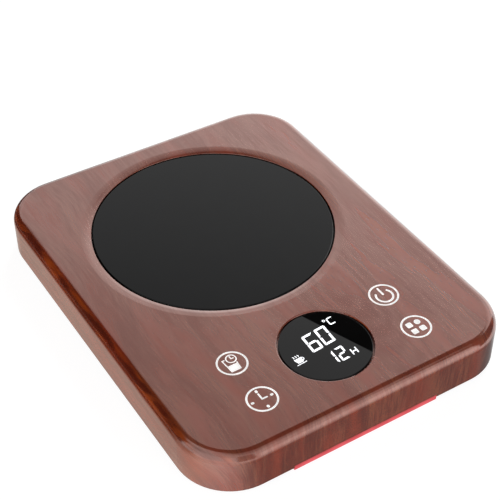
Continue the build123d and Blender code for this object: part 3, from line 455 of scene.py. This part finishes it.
def outer_skin(bench):
    """A mask that is 1 where the film lies and 0 on bare plastic."""
    x, y, z = bench.split(bench.place_mm())
    beyond = [
        bench.math("SUBTRACT", bench.math("ABSOLUTE", part), half - CORNER)
        for part, half in zip((x, y), BODY_HALF)
    ]
    outside = [bench.math("MAXIMUM", part, 0.0) for part in beyond]
    corner = bench.distance(*outside)
    inside = bench.math("MINIMUM", bench.math("MAXIMUM", *beyond), 0.0)
    edge = bench.math("SUBTRACT", bench.math("ADD", corner, inside), CORNER)
    wall = bench.math("GREATER_THAN", edge, -SKIN)
    facing_up = bench.split(bench.place("ShaderNodeTexCoord").outputs["Normal"])[2]
    top = bench.scaled(bench.math("GREATER_THAN", z, ROUND_LOW), bench.math("GREATER_THAN", facing_up, 0.25))
    rim = bench.math("GREATER_THAN", facing_up, -0.9)
    return bench.scaled(bench.math("MAXIMUM", wall, top), rim)


print("outer skin ready")

# %% Lacquered wood grain
BARE_PLASTIC = shade(0.030, 0.014, 0.010)

material, bench, shader = new_finish(
    "wood_shell",
    Specular_IOR_Level=1.0,
    Specular_Tint=shade(1.0, 0.26, 0.10),
    Coat_Roughness=0.14,
    Coat_IOR=2.0,
)
wood = use_group(
    bench,
    film,
    Dark=shade(0.082, 0.009, 0.003),
    Heart=shade(0.135, 0.014, 0.004),
    Pale=shade(0.200, 0.038, 0.009),
    Blush=shade(0.205, 0.024, 0.006),
    Ember=shade(0.285, 0.044, 0.004),
)
covered = outer_skin(bench)
# The film's colour holds the print, and painted shade on the rounded side edges.
bench.feed(shader["Base Color"], bench.blend(covered, BARE_PLASTIC, wood["Print"]))
marks = use_group(bench, handling_marks, Patch=22.0)
bench.feed(shader["Roughness"], bench.step(marks["Smudge"], 0.0, 1.0, 0.18, 0.23))
bench.feed(shader["Coat Weight"], bench.scaled(covered, bench.step(wood["Lustre"], 0.0, 1.0, 0.76, 1.0)))
relief(bench, shader, wood["Fibre"], 0.010, 0.26)
fit(material)

# %% [markdown]
# ## Plate and display
# The heating plate is black glass, and the display is a disc of tinted plastic.
# Both mirror the room, so their own colour hardly shows. What tells them apart
# from paint is a sharp reflection with a few weak smudges in it. Each has its own
# strength of reflection, set on the shader.

# %% Glossy black surfaces
HAIRLINE_ROUGHNESS = 0.004
GLOSSY = {
    # slot: colour, roughness clean and smudged, specular level, smudge size
    "plate_glass": (shade(0.0028, 0.0029, 0.0031), 0.045, 0.085, 0.205, 26.0),
    "lens_tint": (shade(0.0024, 0.0022, 0.0022), 0.004, 0.012, 0.38, 12.0),
}
for slot, (colour, clean, smudged, specular, patch) in GLOSSY.items():
    material, bench, shader = new_finish(slot, Specular_IOR_Level=specular)
    marks = use_group(bench, handling_marks, Patch=patch)
    skin = use_group(bench, moulded_skin, Grain=1.6)
    bench.feed(shader["Base Color"], bench.blend(skin["Flow"], colour, lightened(colour, 1.7)))
    rough = bench.step(marks["Smudge"], 0.0, 1.0, clean, smudged)
    bench.feed(shader["Roughness"], bench.math("MULTIPLY_ADD", marks["Hairline"], HAIRLINE_ROUGHNESS, rough))
    fit(material)

# %% [markdown]
# ## Signs that light up
# The readout is a set of lit segments behind the tinted disc. The four touch
# signs are white and lit from behind as well, and the strip in the front edge
# glows red. Lamps would light the room around them too. A weak emission in the
# finish itself only makes them read as lit, and a slow change in it over the
# surface keeps them from looking like cut paper.

# %% Lit white signs
LIT = {
    # slot: colour, glow at its weakest and strongest, size of the change in mm
    "digit_glow": (shade(0.92, 0.95, 1.0), 0.80, 1.05, 2.2),
    "icon_white": (shade(0.93, 0.90, 0.88), 0.34, 0.46, 3.0),
}
for slot, (colour, weakest, strongest, size) in LIT.items():
    material, bench, shader = new_finish(slot, Roughness=0.35, Emission_Strength=1.0)
    change = bench.noise(bench.in_lumps(bench.place_mm(), size), detail=1.0)
    glow = bench.step(change, 0.35, 0.65)
    bench.feed(shader["Base Color"], bench.blend(glow, shade(0.80, 0.79, 0.78), shade(0.92, 0.91, 0.90)))
    levels = [lightened(colour, factor) for factor in (weakest, strongest)]
    bench.feed(shader["Emission Color"], bench.blend(glow, *levels))
    fit(material)

# %% [markdown]
# ## The light strip
# Five small lights sit behind the strip, 12 mm apart. The strip spreads them, so
# that it is nearly even along its length and only a little brighter in front of
# each. A cosine along X that repeats every 12 mm gives just that. Its lower edge
# gathers the light and is the brighter one.

# %% Red light strip
LED_PITCH = 12.0
STRIP_MIDDLE = -1.6
STRIP_DIM, STRIP_BRIGHT = 3.6, 1.4  # heights between which its face brightens downwards

material, bench, shader = new_finish("light_red", Roughness=0.30, Emission_Strength=1.0, Coat_Weight=0.3)
x, _, z = bench.split(bench.place_mm())
from_led = bench.math("SUBTRACT", x, STRIP_MIDDLE)
wave = bench.math("COSINE", bench.scaled(from_led, 2 * math.pi / LED_PITCH))
near_led = bench.step(wave, -1.0, 1.0)
lower = bench.step(z, STRIP_DIM, STRIP_BRIGHT)
level = bench.total(bench.scaled(near_led, 0.25), bench.scaled(lower, 0.75))
bench.feed(shader["Base Color"], bench.blend(level, shade(0.28, 0.022, 0.024), shade(0.34, 0.040, 0.045)))
bench.feed(shader["Emission Color"], bench.blend(level, shade(0.16, 0.008, 0.012), shade(0.43, 0.056, 0.070)))
fit(material)

# %% [markdown]
# ## Plastic, rubber and film parts
# Most other parts are moulded plastic or rubber in different colours. One loop
# makes them all from a table, because they differ only in numbers: two shades,
# how rough they are, how coarse the mould's skin is, how deep it is, and how pale
# their edges have become.

# %% Moulded parts
MOULDED = {
    # slot: darker shade, lighter shade, roughness, skin grain, skin depth, edge wear
    "tray_plastic": (shade(0.020, 0.018, 0.017), shade(0.034, 0.031, 0.029), 0.56, 0.42, 0.030, 0.30),
    "module_plastic": (shade(0.74, 0.74, 0.72), shade(0.84, 0.84, 0.82), 0.50, 0.30, 0.015, 0.10),
    "chip_black": (shade(0.014, 0.014, 0.015), shade(0.026, 0.026, 0.028), 0.52, 0.22, 0.015, 0.20),
    "connector_nylon": (shade(0.68, 0.65, 0.55), shade(0.80, 0.77, 0.68), 0.48, 0.30, 0.012, 0.10),
    "jack_black": (shade(0.012, 0.012, 0.013), shade(0.024, 0.024, 0.025), 0.46, 0.30, 0.020, 0.35),
    "switch_plastic": (shade(0.018, 0.018, 0.022), shade(0.032, 0.032, 0.038), 0.45, 0.26, 0.012, 0.25),
    "plunger_red": (shade(0.40, 0.020, 0.014), shade(0.52, 0.034, 0.024), 0.32, 0.30, 0.005, 0.10),
    "carrier_plastic": (shade(0.020, 0.020, 0.020), shade(0.036, 0.036, 0.035), 0.60, 0.28, 0.025, 0.25),
    "seal_silicone": (shade(0.56, 0.55, 0.50), shade(0.66, 0.65, 0.61), 0.55, 0.50, 0.010, 0.00),
    "led_white": (shade(0.78, 0.78, 0.62), shade(0.88, 0.88, 0.76), 0.22, 0.60, 0.004, 0.05),
}
WORN = shade(0.30, 0.28, 0.27)


def moulded(slot, darker, lighter, rough, grain_size, depth, wear):
    """A moulded plastic or rubber finish, still to be fitted."""
    material, bench, shader = new_finish(slot)
    skin = use_group(bench, moulded_skin, Grain=grain_size)
    edge = use_group(bench, worn_edge, Reach=0.25)["Edge"]
    colour = bench.blend(skin["Flow"], darker, lighter)
    bench.feed(shader["Base Color"], bench.blend(bench.scaled(edge, wear), colour, WORN))
    bench.feed(shader["Roughness"], bench.step(skin["Skin"], 0.3, 0.7, rough - 0.07, rough + 0.07))
    relief(bench, shader, skin["Skin"], depth)
    return material, bench, shader, skin


for slot, numbers in MOULDED.items():
    fit(moulded(slot, *numbers)[0])

# %% [markdown]
# ## Rubber feet
# Each foot is a disc with a few rings moulded into its sole, so that it grips and
# lets air out. The four feet lie at the same distance from the middle on each
# axis, so the size of a point's X and Y, without their signs, folds all four onto
# one. Rings round that one foot then mark them all.

# %% Rings in the soles
FOOT_PLACE = (40.0, 60.0)
RING_GAP = 1.5
RINGED = 4.6  # radius of the sole's ringed part

material, bench, shader, skin = moulded(
    "foot_rubber", shade(0.016, 0.016, 0.016), shade(0.030, 0.029, 0.028), 0.70, 0.35, 0.020, 0.12
)
x, y, _ = bench.split(bench.place_mm())
folded = [bench.math("SUBTRACT", bench.math("ABSOLUTE", part), at) for part, at in zip((x, y), FOOT_PLACE)]
from_middle = bench.distance(*folded)
rings = bench.step(bench.math("SINE", bench.scaled(from_middle, 2 * math.pi / RING_GAP)), -0.4, 0.4)
ringed = bench.scaled(rings, bench.math("LESS_THAN", from_middle, RINGED))
relief(bench, shader, bench.math("MULTIPLY_ADD", skin["Skin"], 0.1, ringed), 0.18)
fit(material)

# %% [markdown]
# ## The plate underneath
# Such a product has a label on its underside. It stays free of words here: a
# silver film with a thin printed frame and a few ruled lines. They are drawn by
# sums on X and Y, which keeps their edges sharp at any distance.

# %% Ruled label
LABEL_HALF = (22.0, 12.0)
RULE_GAP = 4.0
RULE_HALF = 0.10  # half the width of a printed rule
FRAME_INSET, FRAME_HALF = 1.4, 0.16
MARGIN = 3.0

material, bench, shader = new_finish("label_film", Metallic=0.25)
x, y, _ = bench.split(bench.place_mm())
in_from_edge = bench.math(
    "MINIMUM",
    bench.math("SUBTRACT", LABEL_HALF[0], bench.math("ABSOLUTE", x)),
    bench.math("SUBTRACT", LABEL_HALF[1], bench.math("ABSOLUTE", y)),
)
border = bench.math("COMPARE", in_from_edge, FRAME_INSET, FRAME_HALF)
on_rule = bench.math("LESS_THAN", bench.math("PINGPONG", y, RULE_GAP / 2), RULE_HALF)
rules = bench.scaled(on_rule, bench.math("GREATER_THAN", in_from_edge, MARGIN))
ink = bench.math("MAXIMUM", border, rules)
skin = use_group(bench, moulded_skin, Grain=0.5)
silver = bench.blend(skin["Flow"], shade(0.50, 0.51, 0.52), shade(0.60, 0.61, 0.62))
bench.feed(shader["Base Color"], bench.blend(ink, silver, shade(0.03, 0.03, 0.035)))
bench.feed(shader["Roughness"], bench.step(skin["Skin"], 0.3, 0.7, 0.32, 0.42))
relief(bench, shader, skin["Skin"], 0.004)
fit(material)

# %% [markdown]
# ## Metal parts
# Screws, springs, straps, caps and contacts are all bare metal, and differ in
# colour, in polish and in the way that their streaks run. A plain metal looks the
# same everywhere. The streaks change both its colour and its polish a little, and
# the edges are brighter where they rub.

# %% Bare metals
METAL = {
    # slot: dull shade, bright shade, polish from and to, streak size along each axis
    "screw_steel": (shade(0.42, 0.42, 0.44), shade(0.58, 0.58, 0.60), 0.22, 0.40, (0.5, 0.5, 0.08)),
    "spring_steel": (shade(0.46, 0.46, 0.48), shade(0.66, 0.66, 0.68), 0.18, 0.34, (0.2, 0.2, 0.2)),
    "spreader_alloy": (shade(0.64, 0.64, 0.65), shade(0.78, 0.78, 0.79), 0.24, 0.40, (0.10, 6.0, 1.0)),
    "sensor_cap": (shade(0.60, 0.60, 0.62), shade(0.74, 0.74, 0.76), 0.20, 0.36, (2.0, 2.0, 0.10)),
    "strap_steel": (shade(0.48, 0.48, 0.50), shade(0.64, 0.64, 0.65), 0.22, 0.38, (4.0, 0.10, 1.0)),
    "contact_brass": (shade(0.62, 0.46, 0.20), shade(0.80, 0.66, 0.36), 0.18, 0.34, (0.10, 3.0, 0.10)),
}
for slot, (dull, bright, polish_from, polish_to, streak) in METAL.items():
    material, bench, shader = new_finish(slot, Metallic=1.0)
    streaks = use_group(bench, drawn_metal, Streak=streak)["Streaks"]
    edge = use_group(bench, worn_edge, Reach=0.15)["Edge"]
    worked = bench.step(bench.math("MULTIPLY_ADD", edge, 0.3, streaks), 0.3, 0.8)
    bench.feed(shader["Base Color"], bench.blend(worked, dull, bright))
    bench.feed(shader["Roughness"], bench.step(streaks, 0.3, 0.7, polish_from, polish_to))
    relief(bench, shader, streaks, 0.006)
    fit(material)

# %% [markdown]
# ## Wires
# Each wire is a core in a soft sleeve. The sleeve is drawn through a die, which
# leaves the faintest lines along it, and dust makes its colour a little uneven.

# %% Sleeves of the wires
WIRES = {
    "wire_white": (shade(0.66, 0.65, 0.60), shade(0.80, 0.79, 0.74)),
    "wire_red": (shade(0.42, 0.018, 0.014), shade(0.54, 0.030, 0.022)),
    "wire_black": (shade(0.014, 0.014, 0.014), shade(0.028, 0.028, 0.028)),
}
for slot, (darker, lighter) in WIRES.items():
    material, bench, shader = new_finish(slot)
    drawn = use_group(bench, drawn_metal, Streak=(0.15, 5.0, 0.15))["Streaks"]
    flow = use_group(bench, moulded_skin, Grain=0.3)["Flow"]
    bench.feed(shader["Base Color"], bench.blend(bench.step(flow, 0.3, 0.7), darker, lighter))
    bench.feed(shader["Roughness"], bench.step(drawn, 0.3, 0.7, 0.46, 0.58))
    relief(bench, shader, drawn, 0.008)
    fit(material)

# %% [markdown]
# ## Circuit boards
# Both boards are glass-fibre sheet under green lacquer. Copper tracks run under
# the lacquer in straight lines and show as a paler green. The cells of a Voronoi
# texture have straight borders too, so a thin line along them becomes the tracks.

# %% Lacquered boards
CELL = 1 / 0.28  # millimetres across one cell

material, bench, shader = new_finish("board_green", Coat_Weight=0.4, Coat_Roughness=0.15)
cells = bench.place("ShaderNodeTexVoronoi", feature="DISTANCE_TO_EDGE")
bench.feed(cells.inputs["Vector"], bench.in_lumps(bench.place_mm(), CELL))
bench.feed(cells.inputs["Scale"], 1.0)
bench.feed(cells.inputs["Randomness"], 0.55)
track = bench.step(cells.outputs["Distance"], 0.10, 0.07)
weave = use_group(bench, moulded_skin, Grain=0.4)
lacquer = bench.blend(weave["Flow"], shade(0.010, 0.075, 0.030), shade(0.014, 0.100, 0.042))
bench.feed(shader["Base Color"], bench.blend(track, lacquer, shade(0.030, 0.190, 0.075)))
bench.feed(shader["Roughness"], bench.step(weave["Skin"], 0.3, 0.7, 0.28, 0.40))
relief(bench, shader, bench.math("ADD", track, bench.scaled(weave["Skin"], 0.3)), 0.03)
fit(material)

# %% [markdown]
# ## Heater and insulation
# The heating element is an etched track between two amber films. The track runs
# in rings that are broken along one line. The board of ceramic fibre under it
# keeps the heat up, and looks like pressed felt: fibres that lie both ways.

# %% Amber heating film
PLATE_MIDDLE = 22.6  # on the Y axis
TRACK_GAP = 3.2
BREAK_HALF = 1.5  # half the gap that breaks the rings

material, bench, shader = new_finish("element_film", Coat_Weight=0.5, Coat_Roughness=0.12)
x, y, _ = bench.split(bench.place_mm())
radius = bench.distance(x, bench.math("SUBTRACT", y, PLATE_MIDDLE))
rings = bench.step(bench.math("SINE", bench.scaled(radius, 2 * math.pi / TRACK_GAP)), -0.1, 0.1)
foil = bench.scaled(rings, bench.math("GREATER_THAN", bench.math("ABSOLUTE", x), BREAK_HALF))
film_flow = use_group(bench, moulded_skin, Grain=0.6)
amber = bench.blend(film_flow["Flow"], shade(0.36, 0.13, 0.018), shade(0.46, 0.19, 0.030))
bench.feed(shader["Base Color"], bench.blend(foil, amber, shade(0.52, 0.30, 0.14)))
bench.feed(shader["Roughness"], bench.step(foil, 0.0, 1.0, 0.42, 0.28))
relief(bench, shader, bench.math("ADD", foil, bench.scaled(film_flow["Skin"], 0.2)), 0.03)
fit(material)

# %% Ceramic fibre board
FIBRES = ((0.5, 3.0, 2.0), (3.0, 0.5, 2.0))  # lumps to a millimetre: fibres along X, and along Y

material, bench, shader = new_finish("fibre_board", Sheen_Weight=0.2)
spot = bench.place_mm()
tangle = [bench.noise(bench.stretch(spot, *lumps), detail=4.0, roughness=0.7) for lumps in FIBRES]
felt = bench.math("MAXIMUM", *tangle)
fibre_share = bench.step(felt, 0.40, 0.75)
bench.feed(shader["Base Color"], bench.blend(fibre_share, shade(0.62, 0.60, 0.54), shade(0.80, 0.79, 0.75)))
bench.feed(shader["Roughness"], bench.step(felt, 0.3, 0.8, 0.98, 0.80))
relief(bench, shader, felt, 0.20)
fit(material)

# %% [markdown]
# ## The smoothing capacitor
# It is an aluminium can that lies along X, in a dark sleeve that leaves its two
# ends bare. The can's middle is at X = 0, so the size of X alone tells its ends
# from its sleeve.

# %% Sleeved can
SLEEVE_HALF = 5.1

material, bench, shader = new_finish("capacitor_can", Metallic=0.1, Coat_Weight=0.3)
x = bench.split(bench.place_mm())[0]
ends = bench.math("GREATER_THAN", bench.math("ABSOLUTE", x), SLEEVE_HALF)
sleeve_flow = use_group(bench, moulded_skin, Grain=0.5)
sleeve = bench.blend(sleeve_flow["Flow"], shade(0.016, 0.020, 0.050), shade(0.026, 0.032, 0.075))
bench.feed(shader["Base Color"], bench.blend(ends, sleeve, shade(0.60, 0.60, 0.62)))
bench.feed(shader["Roughness"], bench.step(sleeve_flow["Skin"], 0.3, 0.7, 0.26, 0.38))
relief(bench, shader, sleeve_flow["Skin"], 0.004)
fit(material)
print("without a finish:", sorted(set(solids) - dressed))

# %% [markdown]
# ## Floor and room
# Product pictures stand on white. Raising the lamps until the floor burns out
# would also wash out the object. It is better to let the floor and the room glow,
# and to give each kind of ray its own level: white for the camera, shaped levels
# for mirrors, and an even bounce for soft light. A share of the floor stays plain
# paper, which still takes the object's soft shadow.

# %% Studio helpers
WHITE = shade(1.0, 1.0, 1.0)
DARK_LEVEL = 0.015  # a black card still gives back a little light


def studio_paint(name):
    """A material for the studio with an empty surface: the material, its bench and that surface."""
    paint = bpy.data.materials.new(name)
    paint.use_nodes = True
    bench = Bench(paint.node_tree)
    bench.tree.nodes.remove(bench.tree.nodes["Principled BSDF"])
    return paint, bench, bench.tree.nodes["Material Output"].inputs["Surface"]


def rays(bench):
    """Masks of the rays that meet a surface: direct or through glass, in a mirror, and as soft light."""
    path = bench.place("ShaderNodeLightPath").outputs
    direct = bench.math("MAXIMUM", path["Is Camera Ray"], path["Is Transmission Ray"])
    return direct, path["Is Glossy Ray"], path["Is Diffuse Ray"]


def sheet(name, corners, material):
    """A flat sheet that belongs to the studio, not to the object."""
    mesh = bpy.data.meshes.new(name)
    mesh.from_pydata([tuple(corner) for corner in corners], [], [tuple(range(len(corners)))])
    mesh.materials.append(material)
    item = bpy.data.objects.new(name, mesh)
    bpy.context.scene.collection.objects.link(item)
    return item


print("studio helpers ready")

# %% [markdown]
# ## What the walls mirror
# A lacquered wall mirrors the floor in front of it, so each tone on the walls is
# set by a part of the floor. Grey cards could lie there, but they would take the
# object's shadow. The floor's own glow changes with the place instead, and only
# for mirrors: it is dimmed by the body's sides and in front of it, and is almost
# gone far out on the left and behind, which darkens the foot of the rounded edge.

# %% Levels of the mirrored floor
MIRRORED = 1.15  # close to the body
MIRRORED_FAR = 0.30  # added beyond the body's surroundings
FAR_FROM, FAR_TO = 190.0, 270.0  # millimetres from the middle
SLANT = 0.8  # how steeply the far left area's edge runs off to the front

floor_paint, bench, floor_surface = studio_paint("studio_floor")
x, y, _ = bench.split(bench.place_mm())


def area(*sides):
    """A soft-edged area: for each of its sides, an axis, where the area ends and where it is full."""
    edges = [bench.step(axis, outside, inside) for axis, outside, inside in sides]
    mask = edges[0]
    for edge in edges[1:]:
        mask = bench.scaled(mask, edge)
    return mask


slanted = bench.math("MULTIPLY_ADD", bench.math("ADD", x, BODY_HALF[0]), SLANT, y)
by_sides = area((y, -80.0, -52.0), (x, 60.0, 40.0))
in_front = area((y, -150.0, -98.0), (x, -74.0, -38.0), (y, -60.0, -82.0), (x, 92.0, 66.0))
behind = area((y, 100.0, 116.0), (x, 10.0, -16.0))
far_left = area((x, -74.0, -102.0), (slanted, -72.0, -50.0))
far_out = bench.math("MAXIMUM", far_left, behind)
mirrored_level = MIRRORED
for mask, dimming in ((by_sides, 0.58), (in_front, 0.95), (far_out, MIRRORED)):
    mirrored_level = bench.math("SUBTRACT", mirrored_level, bench.scaled(mask, dimming))
mirrored_level = bench.math("MAXIMUM", mirrored_level, DARK_LEVEL)
far_away = bench.step(bench.distance(x, y), FAR_FROM, FAR_TO)
mirrored_level = bench.math("MULTIPLY_ADD", far_away, MIRRORED_FAR, mirrored_level)
print("mirrored floor", MIRRORED, "near, and", MIRRORED + MIRRORED_FAR, "far away")

# %% [markdown]
# ## The floor itself
# Along the left wall the floor is also a little warm for mirrors and gives more
# soft light, as a tinted reflector would. From below, the floor is clear, so that
# the underside can be looked at.

# %% White floor
FLOOR_SIZE = 4.0  # metres
PAPER = shade(0.90, 0.90, 0.90)
REFLECTOR = shade(1.0, 0.79, 0.68)
DIRECT_GLOW = 1.22
DIRECT_SHARE = 0.75  # of the glow; the rest is paper
BOUNCE = 1.5
LEFT_BOUNCE = 0.6  # added along the left wall

left_side = area((x, -58.0, -67.0), (y, -92.0, -66.0))
direct, in_mirror, soft = rays(bench)
share = bench.total(bench.scaled(direct, DIRECT_SHARE), in_mirror, soft)
strength = bench.total(
    bench.scaled(direct, DIRECT_GLOW),
    bench.scaled(in_mirror, mirrored_level),
    bench.scaled(soft, bench.math("MULTIPLY_ADD", left_side, LEFT_BOUNCE, BOUNCE)),
)
glow_colour = bench.blend(bench.scaled(in_mirror, left_side), WHITE, REFLECTOR)
glow = bench.place("ShaderNodeEmission", glow_colour, strength)
paper = bench.place("ShaderNodeBsdfDiffuse", PAPER)
lit = bench.place("ShaderNodeMixShader", share, paper.outputs[0], glow.outputs[0])
clear = bench.place("ShaderNodeBsdfTransparent")
from_below = bench.place("ShaderNodeNewGeometry").outputs["Backfacing"]
whole = bench.place("ShaderNodeMixShader", from_below, lit.outputs[0], clear.outputs[0])
bench.feed(floor_surface, whole.outputs[0])
half = FLOOR_SIZE / 2
sheet("studio_floor", [(-half, -half, 0), (half, -half, 0), (half, half, 0), (-half, half, 0)], floor_paint)
print("floor", FLOOR_SIZE, "m wide")

# %% [markdown]
# ## The sky of the studio
# The top and the rounded edges mirror what stands above and around the floor. A
# picture of a real studio could hang there, but a few smooth steps on a direction
# can be read and changed: on how far it points right, back and up. The sky is
# bright low down and fades upwards, as soft panels round a table do. It brightens
# to the right, and has a dip low behind and a bright patch high on the left.

# %% White room
ROOM_LIGHT = 0.12  # level for soft light
RIGHT_FROM, RIGHT_GAIN = 0.27, 0.9  # from where the sky brightens to the right, and how fast
LOW_DIP = 0.32  # taken away low behind
HIGH_LEFT = 0.42  # added high on the left

world = bpy.data.worlds.new("studio_room")
bpy.context.scene.world = world
world.use_nodes = True
bench = Bench(world.node_tree)
room = bench.tree.nodes["Background"].inputs
to_right, to_back, to_top = bench.split(bench.place("ShaderNodeTexCoord").outputs["Generated"])

past_right = bench.math("MAXIMUM", bench.math("SUBTRACT", to_right, RIGHT_FROM), 0.0)
low_dip = area((to_top, 0.53, 0.46), (to_top, 0.26, 0.36))
back_sky = bench.step(to_top, 0.56, 0.78, 1.10, 0.60)
back_sky = bench.math("MULTIPLY_ADD", past_right, RIGHT_GAIN, back_sky)
back_sky = bench.math("SUBTRACT", back_sky, bench.scaled(low_dip, LOW_DIP))
front_sky = bench.step(to_top, 0.62, 0.98, 1.30, 0.50)
high_left = area((to_right, 0.0, -0.26), (to_top, 0.78, 0.88))
sky = bench.step(to_back, -0.15, 0.15, front_sky, back_sky)
sky = bench.math("MULTIPLY_ADD", high_left, HIGH_LEFT, sky)

direct, in_mirror, _ = rays(bench)
bench.feed(room["Color"], WHITE)
bench.feed(room["Strength"], bench.total(
    bench.scaled(direct, 1.0 - ROOM_LIGHT),
    bench.scaled(in_mirror, bench.math("SUBTRACT", sky, ROOM_LIGHT)),
    ROOM_LIGHT,
))
print("room light", ROOM_LIGHT)

# %% [markdown]
# ## Softboxes
# Lamps with a large face give soft light. Each could also show up as a bright
# patch in the lacquer. Two of them are meant to: they draw the pale lines along
# the front edge and the right edge. The others only light the top and the walls,
# and stay out of mirrors.

# %% Softboxes
def softbox(name, place, aim, width, height, radiance, in_mirrors=True):
    """A rectangular lamp that shines from a place towards a point, given in metres."""
    data = bpy.data.lights.new(name, "AREA")
    data.shape = "RECTANGLE"
    data.size = width
    data.size_y = height
    data.energy = radiance * math.pi * width * height
    item = bpy.data.objects.new(name, data)
    bpy.context.scene.collection.objects.link(item)
    item.location = place
    item.rotation_euler = (Vector(place) - Vector(aim)).to_track_quat("Z", "Y").to_euler()
    item.visible_camera = False
    item.visible_glossy = in_mirrors
    print(name, "radiance", radiance)


softbox("left_softbox", (-0.80, -0.45, 0.50), (0, 0, 0), 0.90, 0.80, 1.15, in_mirrors=False)
softbox("front_softbox", (0.42, -0.80, 0.20), (0, -0.08, 0), 0.60, 0.38, 0.45)
softbox("back_right_softbox", (0.584, 0.696, 0.32), (0, 0, 0.01), 0.77, 0.24, 0.4)
softbox("front_fill", (0.10, -0.95, 0.26), (0, 0, 0), 0.60, 0.40, 5.0, in_mirrors=False)
softbox("left_fill", (-0.95, -0.05, 0.12), (0, 0, 0), 0.90, 0.20, 6.0, in_mirrors=False)
softbox("back_right_fill", (0.62, 0.52, 0.62), (0, 0, 0), 0.50, 0.40, 9.4, in_mirrors=False)

# %% [markdown]
# ## Flags
# Shape on a glossy edge comes from what it mirrors, so a studio also sets dark
# cards round the object, called flags. An upright card behind on the left and one
# overhead turn the left edge deep red, and a second one overhead draws the dark
# line along the front edge. Three more tone down the back edge, the right corner
# and the front wall. Only mirrors see them.

# %% Flags
OVERHEAD_HEIGHT = 1.0  # metres


def flag(name, corners, level=DARK_LEVEL):
    """A dark card that only mirrors see, with the level that they see it at."""
    paint, bench, surface = studio_paint(name)
    bench.feed(surface, bench.place("ShaderNodeEmission", shade(level, level, level), 1.0).outputs[0])
    card = sheet(name, corners, paint)
    card.visible_camera = False
    card.visible_diffuse = False
    card.visible_transmission = False
    card.visible_shadow = False
    print(name)


def upright(azimuth_from, azimuth_to, distance, height):
    """Corners of an upright card, from one azimuth to another, measured from +Y to the right."""
    ends = [
        (distance * math.sin(math.radians(turned)), distance * math.cos(math.radians(turned)))
        for turned in (azimuth_from, azimuth_to)
    ]
    return [(*ends[0], 0.0), (*ends[1], 0.0), (*ends[1], height), (*ends[0], height)]


def overhead(*corners):
    """Corners of a level card overhead, that faces down."""
    return [(x, y, OVERHEAD_HEIGHT) for x, y in reversed(corners)]


flag("back_left_flag", upright(-68.0, -8.0, 0.95, 0.95))
flag("overhead_back_flag", overhead(
    (0.10, 0.66), (0.02, 0.76), (0.02, 1.10), (-1.00, 1.10), (-1.00, 0.62), (-0.42, 0.50),
))
flag("overhead_front_flag", overhead(
    (0.90, 0.45), (0.30, 0.45), (0.20, 0.56), (0.10, 0.66), (-0.42, 0.50),
    (-0.10, 0.05), (-0.05, -0.22), (0.25, -0.28), (0.90, -0.33),
), level=0.11)
flag("back_low_flag", upright(-12.0, 7.0, 0.94, 0.17))
flag("right_flag", upright(86.0, 139.0, 0.90, 1.08), level=0.16)
flag("camera_flag", upright(178.0, 203.0, 0.42, 0.40), level=0.45)

# %% [markdown]
# ## A wedge in the display
# A mirror shows what lies along the camera's ray after it bounces. For a flat
# level mirror the bounce only turns the ray's height round, so the card's corners
# can be worked out from the points of the display that should look black. Moving
# a card about by eye would take many tries for the same wedge.

# %% Display flag
DISPLAY_MIDDLE = (0.0, -54.5)
DISPLAY_RADIUS = 17.1
DISPLAY_HEIGHT = 18.3
WEDGE_FROM, WEDGE_TO = -44.4, 87.3  # degrees round the display where the wedge meets its rim
FLAG_HEIGHT = 0.954  # metres
CORNERS = 24


def mirrored(point, height):
    """The point at a height that a level surface mirrors to the camera at a given point."""
    ray = point - CAMERA_PLACE
    bounced = Vector((ray.x, ray.y, -ray.z))
    return point + bounced * ((height - point.z) / bounced.z)


rim = []
for step in range(CORNERS + 1):
    turned = math.radians(WEDGE_FROM + (WEDGE_TO - WEDGE_FROM) * step / CORNERS)
    rim.append(Vector((
        DISPLAY_MIDDLE[0] + DISPLAY_RADIUS * math.cos(turned),
        DISPLAY_MIDDLE[1] + DISPLAY_RADIUS * math.sin(turned),
        DISPLAY_HEIGHT,
    )) * MM)
flag("display_flag", [mirrored(point, FLAG_HEIGHT) for point in rim])
